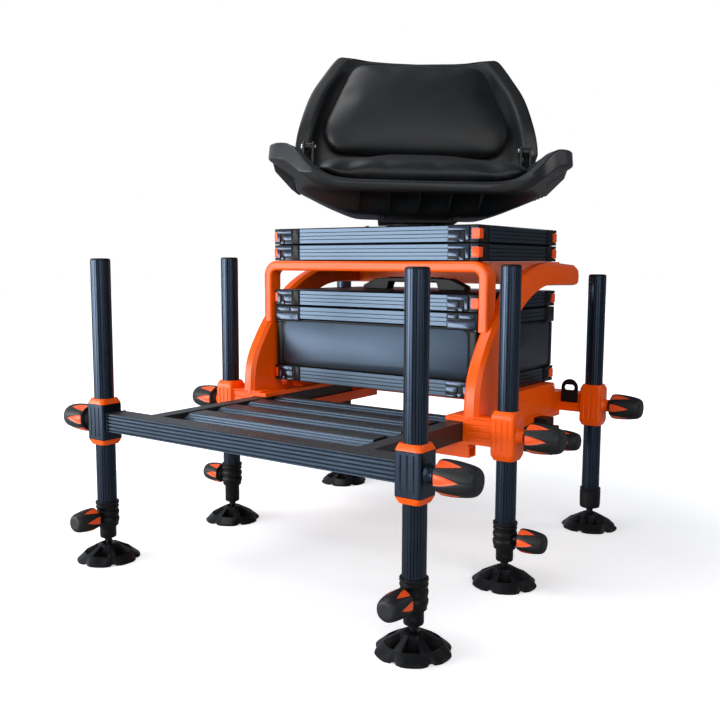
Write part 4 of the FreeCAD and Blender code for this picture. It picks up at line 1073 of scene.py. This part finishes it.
# A panel with round corners on each side, and under it the border that shows round its edge.
for made, short, sunk, low, high, edge, corner in (
        (panels, 18, 0.2, 348.5, 437.5, 0.7, 14), (borders, 8, 1.4, 344.4, 441.2, 0.4, 4)):
    for way in (-1, 1):
        made.append(slab(-half_x + short, half_x - short, way * (half_y - 2.6), way * (half_y - sunk),
                         low, high, edge, corner))
        made.append(slab(way * (half_x - 2.6), way * (half_x - sunk), -half_y + short, half_y - short,
                         low, high, edge, corner))
built("case_panels", panels, panel_sheet, "case", "grey_aluminium")
built("case_panel_borders", borders, moulded, "case", "black_plastic")
lid = [wall_frame(ribs_up(lid_seam, case_high, 3), lid_seam, case_high),
       slab(-inner_x, inner_x, -inner_y, inner_y, case_high - 4, case_high - 0.6, 0.8)]
built("case_lid_walls", lid, band_alloy, "case", "grey_aluminium", "case_lid")
print("case pieces 4")

# %% [markdown]
# ## Corner pieces and latches
#
# Black moulded corners hold the walls together and carry the latches that stack one module on
# the next. Each has a matt base plate that wraps the corner, and polished faces raised on it in
# the form of the hook that the latch of the next module grips. They are made once in corner
# coordinates, u being the distance from the corner, and mirrored round.

# %% Corner pieces
def corner_piece(sx, sy, low, high, hook):
    """The moulding at one corner: its matt plates, and the polished faces raised on them."""
    mid = (low + high) / 2
    matt, shiny = [], []

    def front(made, u0, u1, z0, z1, out0, out1, edge=0.5, corner=1.0):
        made.append(slab(sx * (half_x - u1), sx * (half_x - u0), sy * (half_y + out0), sy * (half_y + out1),
                         z0, z1, edge, corner))

    def flank(made, u0, u1, z0, z1, out0, out1, edge=0.5, corner=1.0):
        made.append(slab(sx * (half_x + out0), sx * (half_x + out1), sy * (half_y - u1), sy * (half_y - u0),
                         z0, z1, edge, corner))

    reach = 16.4 if hook else -2.2
    front(matt, reach, 63, low + 0.7, high - 0.7, -2.6, 1.4, 0.6, 2.0)
    flank(matt, 16.4 if hook else 0.5, 40, low + 0.7, high - 0.7, -2.6, 1.8, 0.6, 2.0)
    if hook:
        for z0, z1 in ((low + 0.7, mid - 10.2), (mid + 10.2, high - 0.7)):
            front(matt, -2.2, 16.6, z0, z1, -3, 2.2, 0.6, 1.2)
            flank(matt, -1.8, 16.6, z0, z1, -3, 2.2, 0.6, 1.2)
        first, last = (17, 61) if sx > 0 else (5.5, 44)
        middle = (first + last) / 2
        front(shiny, first, last, high - 10.5, high - 2.2, 1.0, 3.9, 0.6)
        front(shiny, first, first + 7.5, low + 5, high - 9.5, 1.0, 3.9, 0.6)
        front(shiny, middle - 2, last, low + 8.6, high - 12.2, 1.0, 3.4, 0.6)
        front(shiny, first + 10, middle - 2, low + 1.6, low + 9.5, 1.0, 3.4, 0.6)
        front(shiny, middle, last, low + 1.6, low + 5.6, 1.0, 2.8, 0.6)
        if sx < 0:
            front(matt, 47, 61.5, low + 1.6, high - 1.6, 1.0, 2.6, 0.9, 1.6)
        flank(matt, 16, 39, high - 4.6, high - 1.0, 1.0, 3.0, 0.8)
        flank(matt, 35.6, 39.4, low + 1.2, high - 1.2, 1.0, 2.8, 0.8, 1.6)
        flank(matt, 20, 31, mid - 9, mid + 6, 1.0, 3.2, 0.9, 1.8)
    else:
        front(shiny, 1, 60, low + 3, high - 15, 1.0, 3.2, 0.8, 1.6)
        front(shiny, 4, 36, high - 12.0, high - 3, 1.0, 2.8, 0.7, 1.4)
        front(shiny, 40, 60, high - 12.0, high - 3, 1.0, 2.4, 0.7, 1.4)
        flank(matt, 4, 36, low + 3, high - 10, 1.0, 2.8, 0.8, 2.2)
    return matt, shiny


latch_reach, latch_half = 12.6, 9.5


def fittings(name, body, node, modules, fixed_latches=()):
    """The corner pieces of a body's modules, with their raised faces and fixed latches."""
    corners = [(sx, sy) for sx in (-1, 1) for sy in (-1, 1)]
    made = [corner_piece(sx, sy, low, high, hook) for low, high, hook in modules for sx, sy in corners]
    matt, shiny = ([part for pair in made for part in pair[k]] for k in (0, 1))
    built(name, matt, moulded, body, "black_plastic", node)
    built(name + "_faces", shiny, polished, body, "black_plastic")
    buttons = []
    for height in fixed_latches:
        for sx, sy in corners:
            buttons.append(slab(sx * (half_x - latch_reach), sx * (half_x + 3.4),
                                sy * (half_y - latch_reach), sy * (half_y + 2.6), height - latch_half,
                                height + latch_half, 1.2, 2.2))
    if buttons:
        built(name + "_latches", buttons, latch_plastic, body, "latch_orange")


fittings("lower_tray_corners", "root", "lower_tray_fittings", [(tray_low, tray_low + band_height, True)],
         [tray_low + band_height / 2])
fittings("seat_lid_corners", "seat_lid", "seat_lid_fittings", [(lid_low, lid_low + band_height, True)])
fittings("case_corners", "case", "case_fittings",
         [(case_low, case_low + band_height, True), (437.1, lid_seam - 0.3, False),
          (lid_seam, case_high, True)], [case_low + band_height / 2])
for word, side in sides:
    for latch in ("tray_latches_" + word, "case_latches_" + word):
        settled(softened(latch, latch + "_moulded", latch_plastic, 1.4, 3), latch, "latch_orange", latch)
print("corner sets 3, moving latches 4")

# %% [markdown]
# ## Corner trims and screws
#
# Between its bands the case has a black trim down each edge, and small low-headed screws hold
# the corners. The screws are one head that repeats in rows, so they come from a tree that puts
# a head on each point of a grid.

# %% Screws and trims
screw_tree, given, out = new_tree("screw_heads",
                                  ["Head Radius", "Head Height", "Columns Count", "Rows Count",
                                   "Column Pitch", "Row Pitch"])
grid = add_node(screw_tree, "GeometryNodeMeshGrid", {
    "Vertices X": given["Columns Count"], "Vertices Y": given["Rows Count"]})
index = add_node(screw_tree, "GeometryNodeInputIndex")
row = add_node(screw_tree, "ShaderNodeMath", {0: index, 1: given["Rows Count"]}, operation="DIVIDE")
column = add_node(screw_tree, "ShaderNodeMath", {0: row}, operation="FLOOR")
rest = add_node(screw_tree, "ShaderNodeMath", {0: index, 1: given["Rows Count"]}, operation="MODULO")
x_spot = add_node(screw_tree, "ShaderNodeMath", {0: column, 1: given["Column Pitch"]}, operation="MULTIPLY")
y_spot = add_node(screw_tree, "ShaderNodeMath", {0: rest, 1: given["Row Pitch"]}, operation="MULTIPLY")
spot = add_node(screw_tree, "ShaderNodeCombineXYZ", {"X": x_spot, "Y": y_spot})
laid = add_node(screw_tree, "GeometryNodeSetPosition", {"Geometry": grid, "Position": spot})
taper = add_node(screw_tree, "ShaderNodeMath", {0: given["Head Radius"], 1: 0.72}, operation="MULTIPLY")
head = add_node(screw_tree, "GeometryNodeMeshCone",
                {"Vertices": 20, "Radius Top": taper, "Radius Bottom": given["Head Radius"],
                 "Depth": given["Head Height"]})
heads = add_node(screw_tree, "GeometryNodeInstanceOnPoints", {"Points": laid, "Instance": head})
ended(screw_tree, heads, given, out)


def screws(name, body, slot, first, facing, up_way, columns, rows, column_pitch, row_pitch, radius=2.6,
           height=1.0, material=None):
    """Rows of screw heads on a face: first is one corner, facing the way they look."""
    out_way, second = Vector(facing), Vector(up_way)
    turn = Matrix((second.cross(out_way), second, out_way)).transposed().to_4x4()
    values = {"Head Radius": radius / 1000, "Head Height": height / 1000, "Columns Count": columns,
              "Rows Count": rows, "Column Pitch": column_pitch / 1000, "Row Pitch": row_pitch / 1000}
    piece = grown(screw_tree, name, values, material or bolt_steel,
                  Matrix.Translation(place(*first)) @ turn)
    return settled(piece, body, slot)


screws("case_corner_screws", "case", "steel", (-(half_x - 45), -half_y - 1.4, 441.5), (0, -1, 0), (0, 0, 1),
       2, 1, 2 * (half_x - 45), 0, 2.2, 0.8, moulded)
for word, side, y in (("right", 1, -80), ("left", -1, 142)):
    screws("ledge_screws_" + word, "root", "steel", (side * 257.6, y, 303.5), (side, 0, 0), (0, 0, 1),
           2, 1, 222, 0, 3.4, 1.2)
trims = []
for sx in (-1, 1):
    for sy in (-1, 1):
        trims.append(slab(sx * (half_x - 14), sx * (half_x - 0.6), sy * (half_y - 14), sy * (half_y - 0.6),
                          344.4, 436.8, 1.0, 3.0))
built("case_edge_trims", trims, moulded, "case", "black_plastic")
print("trims 4")

# %% [markdown]
# ## Handle
#
# The case handle is a moulded bridge with a ribbed grip: the bridge is the CAD solid with
# softened edges, and the ribs are the same grooved-bar tree, small and close together.

# %% Handle
settled(softened("case_handle", "handle_bridge", moulded, 2.2, 3), "case", "black_plastic", "case_handle")
lying = Matrix(((1, 0, 0), (0, 0, -1), (0, 1, 0))).to_4x4()
grip_ribs = grown(bar_tree, "handle_grip_ribs", {
    "Width": 0.0032, "Thickness": 0.0016, "Length": 0.022, "Groove Count": 1, "Groove Depth": 0.0001,
    "Bar Count": 17, "Pitch": 0.0076}, moulded, Matrix.Translation(place(-60.8, 0, 529.4)) @ lying)
settled(grip_ribs, "case", "black_plastic")
print("handle pieces 2")

# %% [markdown]
# ## Swivel
#
# A bearing plate is bolted to the top tray, and a second plate turns on it and carries a box
# post. Both are CAD solids with softened edges, and four bolt heads come from the tree.

# %% Swivel pieces
settled(softened("swivel_base", "swivel_lower_plate", moulded, 0.8), "seat_lid", "black_plastic",
        "swivel_base")
settled(softened("swivel_plate", "swivel_upper_plate", moulded, 1.0), "seat", "black_plastic",
        "swivel_plate")
screws("swivel_bolts", "seat_lid", "steel", (-80, -64, 633.9), (0, 0, 1), (0, 1, 0), 2, 2, 160, 134, 5.0,
       2.4)
print("swivel pieces 3")

# %% [markdown]
# ## Seat shell
#
# The seat is two polypropylene mouldings: a dished pan with a thick rolled lip and two boxy
# wings, and a back with broad rims. Neither has a straight line, so both are lofted. Each
# cross-section lists its corners with a radius; the corners are rounded and the sections are
# joined by smooth curves. The shells are made facing ahead and then turned with the seat,
# 34 degrees to its left; in the photograph the seat also sits 1.3 degrees askew on its post.

# %% Smooth sections
def smooth(points, steps):
    """Points on a smooth curve that passes through the given ones."""
    points = [Vector(p) for p in points]
    result = []
    for k in range(len(points) - 1):
        a, b, c, d = (points[min(max(k + j, 0), len(points) - 1)] for j in (-1, 0, 1, 2))
        for i in range(steps):
            t = i / steps
            result.append(0.5 * (2 * b + (c - a) * t + (2 * a - 5 * b + 4 * c - d) * t * t
                                 + (3 * b - a - 3 * c + d) * t * t * t))
    return result + [points[-1]]


def bend(a, corner, b, steps):
    """Points of a parabola from a to b that leaves and meets the lines through the corner."""
    shares = [i / steps for i in range(steps + 1)]
    return [a * (1 - t) ** 2 + corner * 2 * t * (1 - t) + b * t ** 2 for t in shares]


def rounded(corners, steps=5):
    """An open line through (across, along, radius) corners, each rounded, with points between."""
    line = [Vector(corners[0][:2])]
    for before, corner, after in zip(corners, corners[1:], corners[2:]):
        here, radius = Vector(corner[:2]), corner[2]
        start_way, end_way = Vector(before[:2]) - here, Vector(after[:2]) - here
        a = here + start_way.normalized() * min(radius, start_way.length * 0.45)
        b = here + end_way.normalized() * min(radius, end_way.length * 0.45)
        line += [line[-1].lerp(a, 1 / 3), line[-1].lerp(a, 2 / 3), *bend(a, here, b, steps)]
    last = Vector(corners[-1][:2])
    return line + [line[-1].lerp(last, 1 / 3), line[-1].lerp(last, 2 / 3), last]


def mirrored(right):
    """A closed section from its right half, which starts and ends in the middle."""
    return right + [(-s, d, z) for s, d, z in right[-2:0:-1]]


def lofted(sections, steps):
    """Rings through closed sections of (s, forward, z) points, smooth from one to the next."""
    columns = [smooth(along, steps) for along in zip(*sections)]
    return [[place(p.x, -p.y, p.z) for p in ring] for ring in zip(*columns)]


seat_middle = place(0, 0, 640)
seat_angle, askew = 34, 1.3
seat_turn = Matrix.Translation(seat_middle) @ Matrix.Rotation(radians(seat_angle), 4, "Z")
seat_turn = seat_turn @ Matrix.Rotation(radians(askew), 4, "Y") @ Matrix.Translation(-seat_middle)


def on_seat(parts):
    """(points, faces) of a part that was made facing ahead, turned with the seat."""
    points, faces = parts
    return [seat_turn @ Vector(p) for p in points], faces


print("seat turned", seat_angle)

# %% Seat pan
hinge_y, hinge_z = 105, 808
pan_lines = [
    # forward, then corners (s, z, radius): the dish, the wing's top, its face, its foot, the belly
    (231, [(0, 704.5, 0), (140, 705, 30), (178, 714, 12), (200, 727, 2), (202, 722, 2), (188, 711, 6),
           (172, 702, 6), (150, 698.5, 14), (120, 698, 10), (0, 698, 0)]),
    (228, [(0, 708.5, 0), (142, 709, 34), (184, 717, 14), (207, 734, 3), (210, 721, 3), (194, 707, 8),
           (176, 698, 8), (150, 692.5, 16), (120, 692, 10), (0, 692, 0)]),
    (218, [(0, 710, 0), (152, 711, 38), (198, 728, 16), (224, 750, 4), (228, 723, 3), (208, 706, 8),
           (190, 696, 8), (155, 690, 16), (120, 689, 10), (0, 689, 0)]),
    (200, [(0, 706, 0), (166, 707, 42), (214, 748, 16), (241, 768, 4), (246, 737, 3), (222, 712, 8),
           (205, 699, 8), (160, 692, 18), (120, 691, 10), (0, 691, 0)]),
    (180, [(0, 703, 0), (176, 704, 46), (228, 766, 16), (257, 779, 5), (262, 747, 3), (234, 716, 8),
           (218, 700, 8), (168, 691, 18), (124, 690, 10), (0, 690, 0)]),
    (155, [(0, 702, 0), (184, 703, 50), (239, 775, 14), (277, 782, 5), (283, 751, 4), (242, 718, 8),
           (230, 699, 8), (178, 686, 20), (130, 682, 12), (0, 682, 0)]),
    (128, [(0, 702, 0), (190, 703, 52), (244, 778, 14), (291, 783, 6), (295, 753, 4), (245, 718, 7),
           (239, 697, 7), (184, 672, 24), (134, 659, 16), (0, 657, 0)]),
    (98, [(0, 702, 0), (192, 703, 54), (246, 779, 12), (297, 784, 6), (299, 754, 4), (246, 717, 6),
          (243, 695, 6), (184, 669, 26), (138, 653, 16), (0, 652, 0)]),
    (40, [(0, 702, 0), (190, 703, 52), (243, 777, 14), (293, 784, 6), (295, 754, 4), (246, 717, 6),
          (243, 695, 6), (184, 669, 26), (138, 653, 16), (0, 652, 0)]),
    (-40, [(0, 704, 0), (190, 706, 50), (240, 774, 14), (276, 783, 6), (278, 756, 4), (244, 718, 6),
           (241, 697, 6), (184, 669, 26), (138, 653, 16), (0, 652, 0)]),
    (-95, [(0, 709, 0), (186, 713, 46), (234, 758, 14), (264, 766, 5), (266, 744, 4), (242, 719, 6),
           (236, 701, 6), (180, 674, 24), (128, 655, 16), (0, 653, 0)]),
    (-135, [(0, 714, 0), (184, 720, 40), (224, 745, 12), (252, 752, 4), (253, 738, 3), (236, 725, 5),
            (228, 714, 5), (170, 702, 20), (120, 694, 14), (0, 692, 0)]),
    (-172, [(0, 726, 0), (178, 730, 30), (212, 740, 10), (234, 744, 2), (235, 738, 2), (222, 733, 3),
            (214, 727, 3), (170, 720, 14), (118, 717, 10), (0, 716, 0)]),
]
sections = [mirrored([(p.x, forward, p.y) for p in rounded(corners)]) for forward, corners in pan_lines]
pan = skin(lofted(sections, 5))
extras = []
for side in (-1, 1):
    extras.append(slab(side * 246.2, side * 251, hinge_y - 12, hinge_y + 12, 752, hinge_z + 12, 1.2, 10))
    extras.append(slab(side * 225.5, side * 230.6, hinge_y - 11, hinge_y + 11, 738, hinge_z + 12, 1.2, 10))
    for forward in (-30, 10, 50, 90):
        rib = [(side * s, z) for s, z in ((292, 750), (247, 717), (247, 697), (253, 698), (287, 733))]
        extras.append(skin([[place(s, -forward - shift, z) for s, z in rib] for shift in (-1.5, 1.5)]))
pan_piece = mesh_piece("seat_pan_shell", *merged([on_seat(pan)] + [on_seat(part) for part in extras]),
                       [shell_plastic], 42)
settled(pan_piece, "seat", "black_plastic", "seat_pan")
print("pan points", len(pan_piece.data.vertices))

# %% Ribs under the pan
# Fins stiffen the moulding from below. One fin repeats across the pan, by instances on a line.
fin_tree, given, out = new_tree("fins", ["Fin Thickness", "Fin Depth", "Fin Height", "Fin Count", "Pitch"])
fin_size = add_node(fin_tree, "ShaderNodeCombineXYZ", {
    "X": given["Fin Thickness"], "Y": given["Fin Depth"], "Z": given["Fin Height"]})
fin = add_node(fin_tree, "GeometryNodeMeshCube", {"Size": fin_size})
stride = add_node(fin_tree, "ShaderNodeCombineXYZ", {"X": given["Pitch"]})
row = add_node(fin_tree, "GeometryNodeMeshLine", {"Count": given["Fin Count"], "Offset": stride})
fins = add_node(fin_tree, "GeometryNodeInstanceOnPoints", {"Points": row, "Instance": fin})
ended(fin_tree, fins, given, out)
under_pan = seat_turn @ Matrix.Translation(place(-116, -168, 682)) @ Matrix.Rotation(radians(-21), 4, "X")
fin_row = grown(fin_tree, "pan_ribs", {"Fin Thickness": 0.0032, "Fin Depth": 0.092, "Fin Height": 0.018,
                                       "Fin Count": 5, "Pitch": 0.058}, shell_plastic, under_pan)
settled(fin_row, "seat", "black_plastic")
print("ribs 5")

# %% Seat back
back_lines = [
    # height, half width, forward place of the rim and of the middle, sag of the middle
    (760, 240, -150, -166, 0),
    (772, 260, -140, -168, 0),
    (796, 269, -129, -171, 0),
    (815, 271, -127, -176, 0),
    (862, 263, -137, -190, 0),
    (932, 243, -170, -216, 1),
    (985, 214, -199, -235, 4),
    (1012, 197, -214, -244, 7),
    (1025, 187, -222, -249, 8),
    (1029, 179, -224, -249, 8),
]
sections = []
for height, half, edge, middle, sag in back_lines:
    dish = edge - 0.82 * (edge - middle)
    corners = [(0, middle, 0), (half * 0.60, dish, 50), (half - 50, dish + 9, 24), (half - 29, edge - 3, 7),
               (half, edge - 4, 5), (half - 1, edge - 21, 5), (half - 33, edge - 24, 8),
               (half - 52, dish, 20), (half * 0.60, dish - 8, 40), (0, middle - 8, 0)]
    line = rounded(corners)
    sections.append(mirrored([(p.x, p.y, height - sag * (1 - (p.x / half) ** 2)) for p in line]))
back = skin(lofted(sections, 5))
arms = []
for side in (-1, 1):
    arms.append(slab(side * 231.4, side * 245.6, hinge_y, 150, hinge_z - 9.5, hinge_z + 9.5, 2.0, 8))
    arms.append(turned([(-7.0, 4.1), (-7.0, 8.2), (-6.3, 9.0), (6.3, 9.0), (7.0, 8.2), (7.0, 4.1)],
                       place(side * 238.5, hinge_y, hinge_z), (1, 0, 0), 32))
back_piece = mesh_piece("seat_back_shell", *merged([on_seat(back)] + [on_seat(part) for part in arms]),
                        [shell_plastic], 42)
settled(back_piece, "seat_back", "black_plastic", "seat_back")
bolt = [(0, 1), (0, 6.6), (1.4, 7.0), (3.6, 6.2), (4.2, 4.4), (4.2, 1)]
bolts = []
for side in (-1, 1):
    pin = [(-27, 0.4), (-27, 4.0), (1.5, 4.0), (1.5, 0.4)]
    for centre, way, profile in ((251, side, bolt), (225.5, -side, bolt), (251, side, pin)):
        bolts.append(on_seat(turned(profile, place(side * centre, hinge_y, hinge_z), (way, 0, 0), 24)))
built("hinge_bolts", bolts, bolt_steel, "seat", "steel", "seat_hinge_pins")
print("back points", len(back_piece.data.vertices))

# %% [markdown]
# ## Cushions
#
# Both pads are foam in a leatherette cover, drawn tight over a board. Each starts as a low
# crowned block and is blown up as cloth: the mesh is remeshed into even squares, its base is
# pinned to the board, and a little pressure swells it for twenty frames. Cloth shortens along
# its edges as it swells, so the sides pull in between the corners, as a real cover's do.

# %% Cushion helpers
pinned_height, last_frame, smoothing_passes = 4.0, 20, 18


def rounded_outline(corners, radius, steps=8):
    """The closed outline through corner points with each corner rounded."""
    outline = []
    for k, corner in enumerate(corners):
        corner = Vector(corner)
        before, after = Vector(corners[k - 1]), Vector(corners[(k + 1) % len(corners)])
        a = corner + (before - corner).normalized() * radius
        b = corner + (after - corner).normalized() * radius
        outline += bend(a, corner, b, steps)
    return outline


def swollen(name, rings, base_normal, base_point, voxel, pressure, limit):
    """A block of rings, remeshed and blown up as cloth over its pinned base."""
    block = mesh_piece(name + "_block", *skin(rings), [])
    remesh = block.modifiers.new("even squares", "REMESH")
    remesh.mode = "VOXEL"
    remesh.voxel_size = voxel / 1000
    bpy.context.view_layer.update()
    even = final_mesh(block)
    bpy.data.objects.remove(block)
    worker = bpy.data.objects.new(name + "_cloth", even)
    bpy.context.scene.collection.objects.link(worker)
    start = [v.co.copy() for v in even.vertices]
    pinned = worker.vertex_groups.new(name="board")
    for vertex in even.vertices:
        height = (vertex.co - base_point).dot(base_normal) * 1000
        pinned.add([vertex.index], 1.0 if height < pinned_height else 0.0, "REPLACE")
    cloth = worker.modifiers.new("swelling", "CLOTH")
    for setting, value in (
            ("quality", 6), ("mass", 0.25), ("tension_stiffness", 15), ("compression_stiffness", 15),
            ("shear_stiffness", 8), ("bending_stiffness", 12.0), ("vertex_group_mass", "board"),
            ("use_pressure", True), ("uniform_pressure_force", pressure)):
        setattr(cloth.settings, setting, value)
    cloth.settings.effector_weights.gravity = 0
    cloth.collision_settings.use_collision = False
    scene = bpy.context.scene
    scene.frame_start, scene.frame_end = 1, last_frame
    for number in range(1, last_frame + 1):
        scene.frame_set(number)
    blown = final_mesh(worker)
    bpy.data.objects.remove(worker)
    bpy.context.scene.frame_set(1)
    furthest = 0.0
    for vertex, before in zip(blown.vertices, start):
        move = vertex.co - before
        if move.length * 1000 > limit:
            vertex.co = before + move.normalized() * limit / 1000
        furthest = max(furthest, (vertex.co - before).length * 1000)
    relaxed = bmesh.new()
    relaxed.from_mesh(blown)
    for _ in range(smoothing_passes):
        bmesh.ops.smooth_vert(relaxed, verts=relaxed.verts, factor=0.5,
                              use_axis_x=True, use_axis_y=True, use_axis_z=True)
    relaxed.to_mesh(blown)
    relaxed.free()
    blown.materials.clear()
    piece = dressed(name, blown, [leatherette], 80)
    finer = piece.modifiers.new("finer", "SUBSURF")
    finer.levels = finer.render_levels = 1
    print(name, "points", len(blown.vertices), "moved up to", round(furthest, 1), "mm")
    return piece


# %% Seat cushion
# Rings from the board up: drawn in across and along, and the heights at the rear and in front.
levels = [(-12, -12, 712.5, 710.6), (-3, -2, 724, 717), (0, 0, 734, 723), (-16, -8, 745, 730),
          (-74, -34, 758, 738), (-150, -72, 771, 748)]
rings = []
for across, along, rear_height, front_height in levels:
    corners = [(-210 - across, 194 + along, front_height), (210 + across, 194 + along, front_height),
               (216 + across, -80 - along, rear_height), (-216 - across, -80 - along, rear_height)]
    outline = rounded_outline(corners, 38)
    rings.append([seat_turn @ place(p.x, -p.y, p.z + 13 * (abs(p.x) / 210) ** 2.4) for p in outline])
seat_pad = swollen("seat_pad", rings, Vector((0, 0, 1)), place(0, 0, 711), 5.5, 3.0, 14)
settled(seat_pad, "seat", "seat_vinyl", "seat_cushion")

# %% Back cushion
lean = 0.34
rings = []
# Rings from the board out: how much wider, and how far they stand off the back.
for grow, out_by in ((-10, 6.5), (-3, 16), (-3, 26), (-12, 34), (-34, 40), (-62, 43)):
    corners = [(192 + grow, 786 - grow), (220 + grow, 846), (152 + grow, 1007 + grow)]
    corners += [(-s, z) for s, z in corners[::-1]]
    spots = [(s, -160.0 - (z - 790) * lean + out_by, z + out_by * lean) for s, z in corners]
    outline = rounded_outline(spots, 30)
    rings.append([seat_turn @ place(p.x, -p.y, p.z) for p in outline])
normal = seat_turn.to_3x3() @ Vector((0, -1, lean)).normalized()
back_pad = swollen("back_pad", rings, normal, seat_turn @ place(0, 160 - 6.5, 792), 5.5, 3.0, 14)
settled(back_pad, "seat_back", "seat_vinyl", "back_cushion")

# %% [markdown]
# ## Floor and light
#
# A plain studio: a pale floor that meets a white surround. The photograph is lit by a large
# window on the left in front, so the black metal shows a cold sheen on the faces that mirror
# the window towards the camera and stays black on the right. One large area light at that
# mirror place does the same here, with a weaker one above and a small one behind for edges.

# %% Floor
floor_mesh = bpy.data.meshes.new("floor")
near, far = -12, 14  # metres, past the edges of the picture
floor_mesh.from_pydata([(near, near, 0), (-near, near, 0), (-near, far, 0), (near, far, 0)], [],
                       [(0, 1, 2, 3)])
floor = bpy.data.objects.new("floor", floor_mesh)
bpy.context.scene.collection.objects.link(floor)
floor_paint, tree, shader = surface("white_floor", "#F4F4F4", 0.9, Specular_IOR_Level=0.0)
where = add_node(tree, "ShaderNodeTexCoord").outputs["Object"]
reach = add_node(tree, "ShaderNodeVectorMath", {0: where}, operation="LENGTH")
glow = add_node(tree, "ShaderNodeMapRange", {
    "Value": reach.outputs["Value"], "From Min": 0.7, "From Max": 2.2, "To Min": 0.42, "To Max": 1.0})
seen = add_node(tree, "ShaderNodeLightPath")
direct = add_node(tree, "ShaderNodeMath", {0: seen.outputs["Is Camera Ray"], 1: glow.outputs["Result"]},
                  operation="MULTIPLY")
shader.inputs["Emission Color"].default_value = (1, 1, 1, 1)
shade = add_node(tree, "ShaderNodeMix", {0: seen.outputs["Is Camera Ray"], 6: linear("#B8B8B8"),
                                         7: linear("#F4F4F4")}, data_type="RGBA")
tree.links.new(shade.outputs[2], shader.inputs["Base Color"])
tree.links.new(direct.outputs[0], shader.inputs["Emission Strength"])
floor_mesh.materials.append(floor_paint)
print("floor ready")

# %% Light
world = bpy.data.worlds.new("studio")
bpy.context.scene.world = world
world.use_nodes = True
tree = world.node_tree
path = add_node(tree, "ShaderNodeLightPath")
way = add_node(tree, "ShaderNodeTexCoord").outputs["Generated"]
from_left = add_node(tree, "ShaderNodeVectorMath", {0: way, 1: (-0.9, -0.44, 0.0)}, operation="DOT_PRODUCT")
sideways = add_node(tree, "ShaderNodeMapRange", {
    "Value": from_left.outputs["Value"], "From Min": -0.6, "From Max": 0.8, "To Min": 0.12, "To Max": 0.95})
height = add_node(tree, "ShaderNodeSeparateXYZ", {"Vector": way})
overhead = add_node(tree, "ShaderNodeMapRange", {
    "Value": height.outputs["Z"], "From Min": 0.15, "From Max": 0.75, "To Min": 1.0, "To Max": 0.5})
level_of_light = add_node(tree, "ShaderNodeMath", {
    0: sideways.outputs["Result"], 1: overhead.outputs["Result"]}, operation="MULTIPLY")
lit = tree.nodes["Background"]
lit.inputs["Color"].default_value = linear("#E6F0FF")
tree.links.new(level_of_light.outputs[0], lit.inputs["Strength"])
seen = add_node(tree, "ShaderNodeBackground", {"Color": (1, 1, 1, 1), "Strength": 1.0})
mixed = add_node(tree, "ShaderNodeMixShader", {
    0: path.outputs["Is Camera Ray"], 1: lit, 2: seen})
tree.links.new(mixed.outputs[0], tree.nodes["World Output"].inputs["Surface"])
aim = Vector((0, 0, 0.45))
# Name, watts, width and height in metres, and place.
lamps = (("window", 132, 3.4, 1.15, (-2.0, -2.75, 0.52)), ("top", 34, 1.6, 1.6, (-1.0, -0.4, 2.6)),
         ("fill", 54, 3.0, 3.0, (2.5, -2.1, 1.7)), ("edge", 10, 0.8, 0.8, (2.4, 1.8, 1.6)))
for name, power, width, height, spot in lamps:
    lamp_data = bpy.data.lights.new(name, "AREA")
    lamp_data.energy = power
    lamp_data.shape = "RECTANGLE"
    lamp_data.size, lamp_data.size_y = width, height
    lamp = bpy.data.objects.new(name, lamp_data)
    lamp.location = spot
    lamp.rotation_mode = "QUATERNION"
    lamp.rotation_quaternion = (aim - Vector(spot)).to_track_quat("-Z", "Y")
    bpy.context.scene.collection.objects.link(lamp)
bpy.context.scene.view_settings.view_transform = "Standard"
print("lamps", len(lamps))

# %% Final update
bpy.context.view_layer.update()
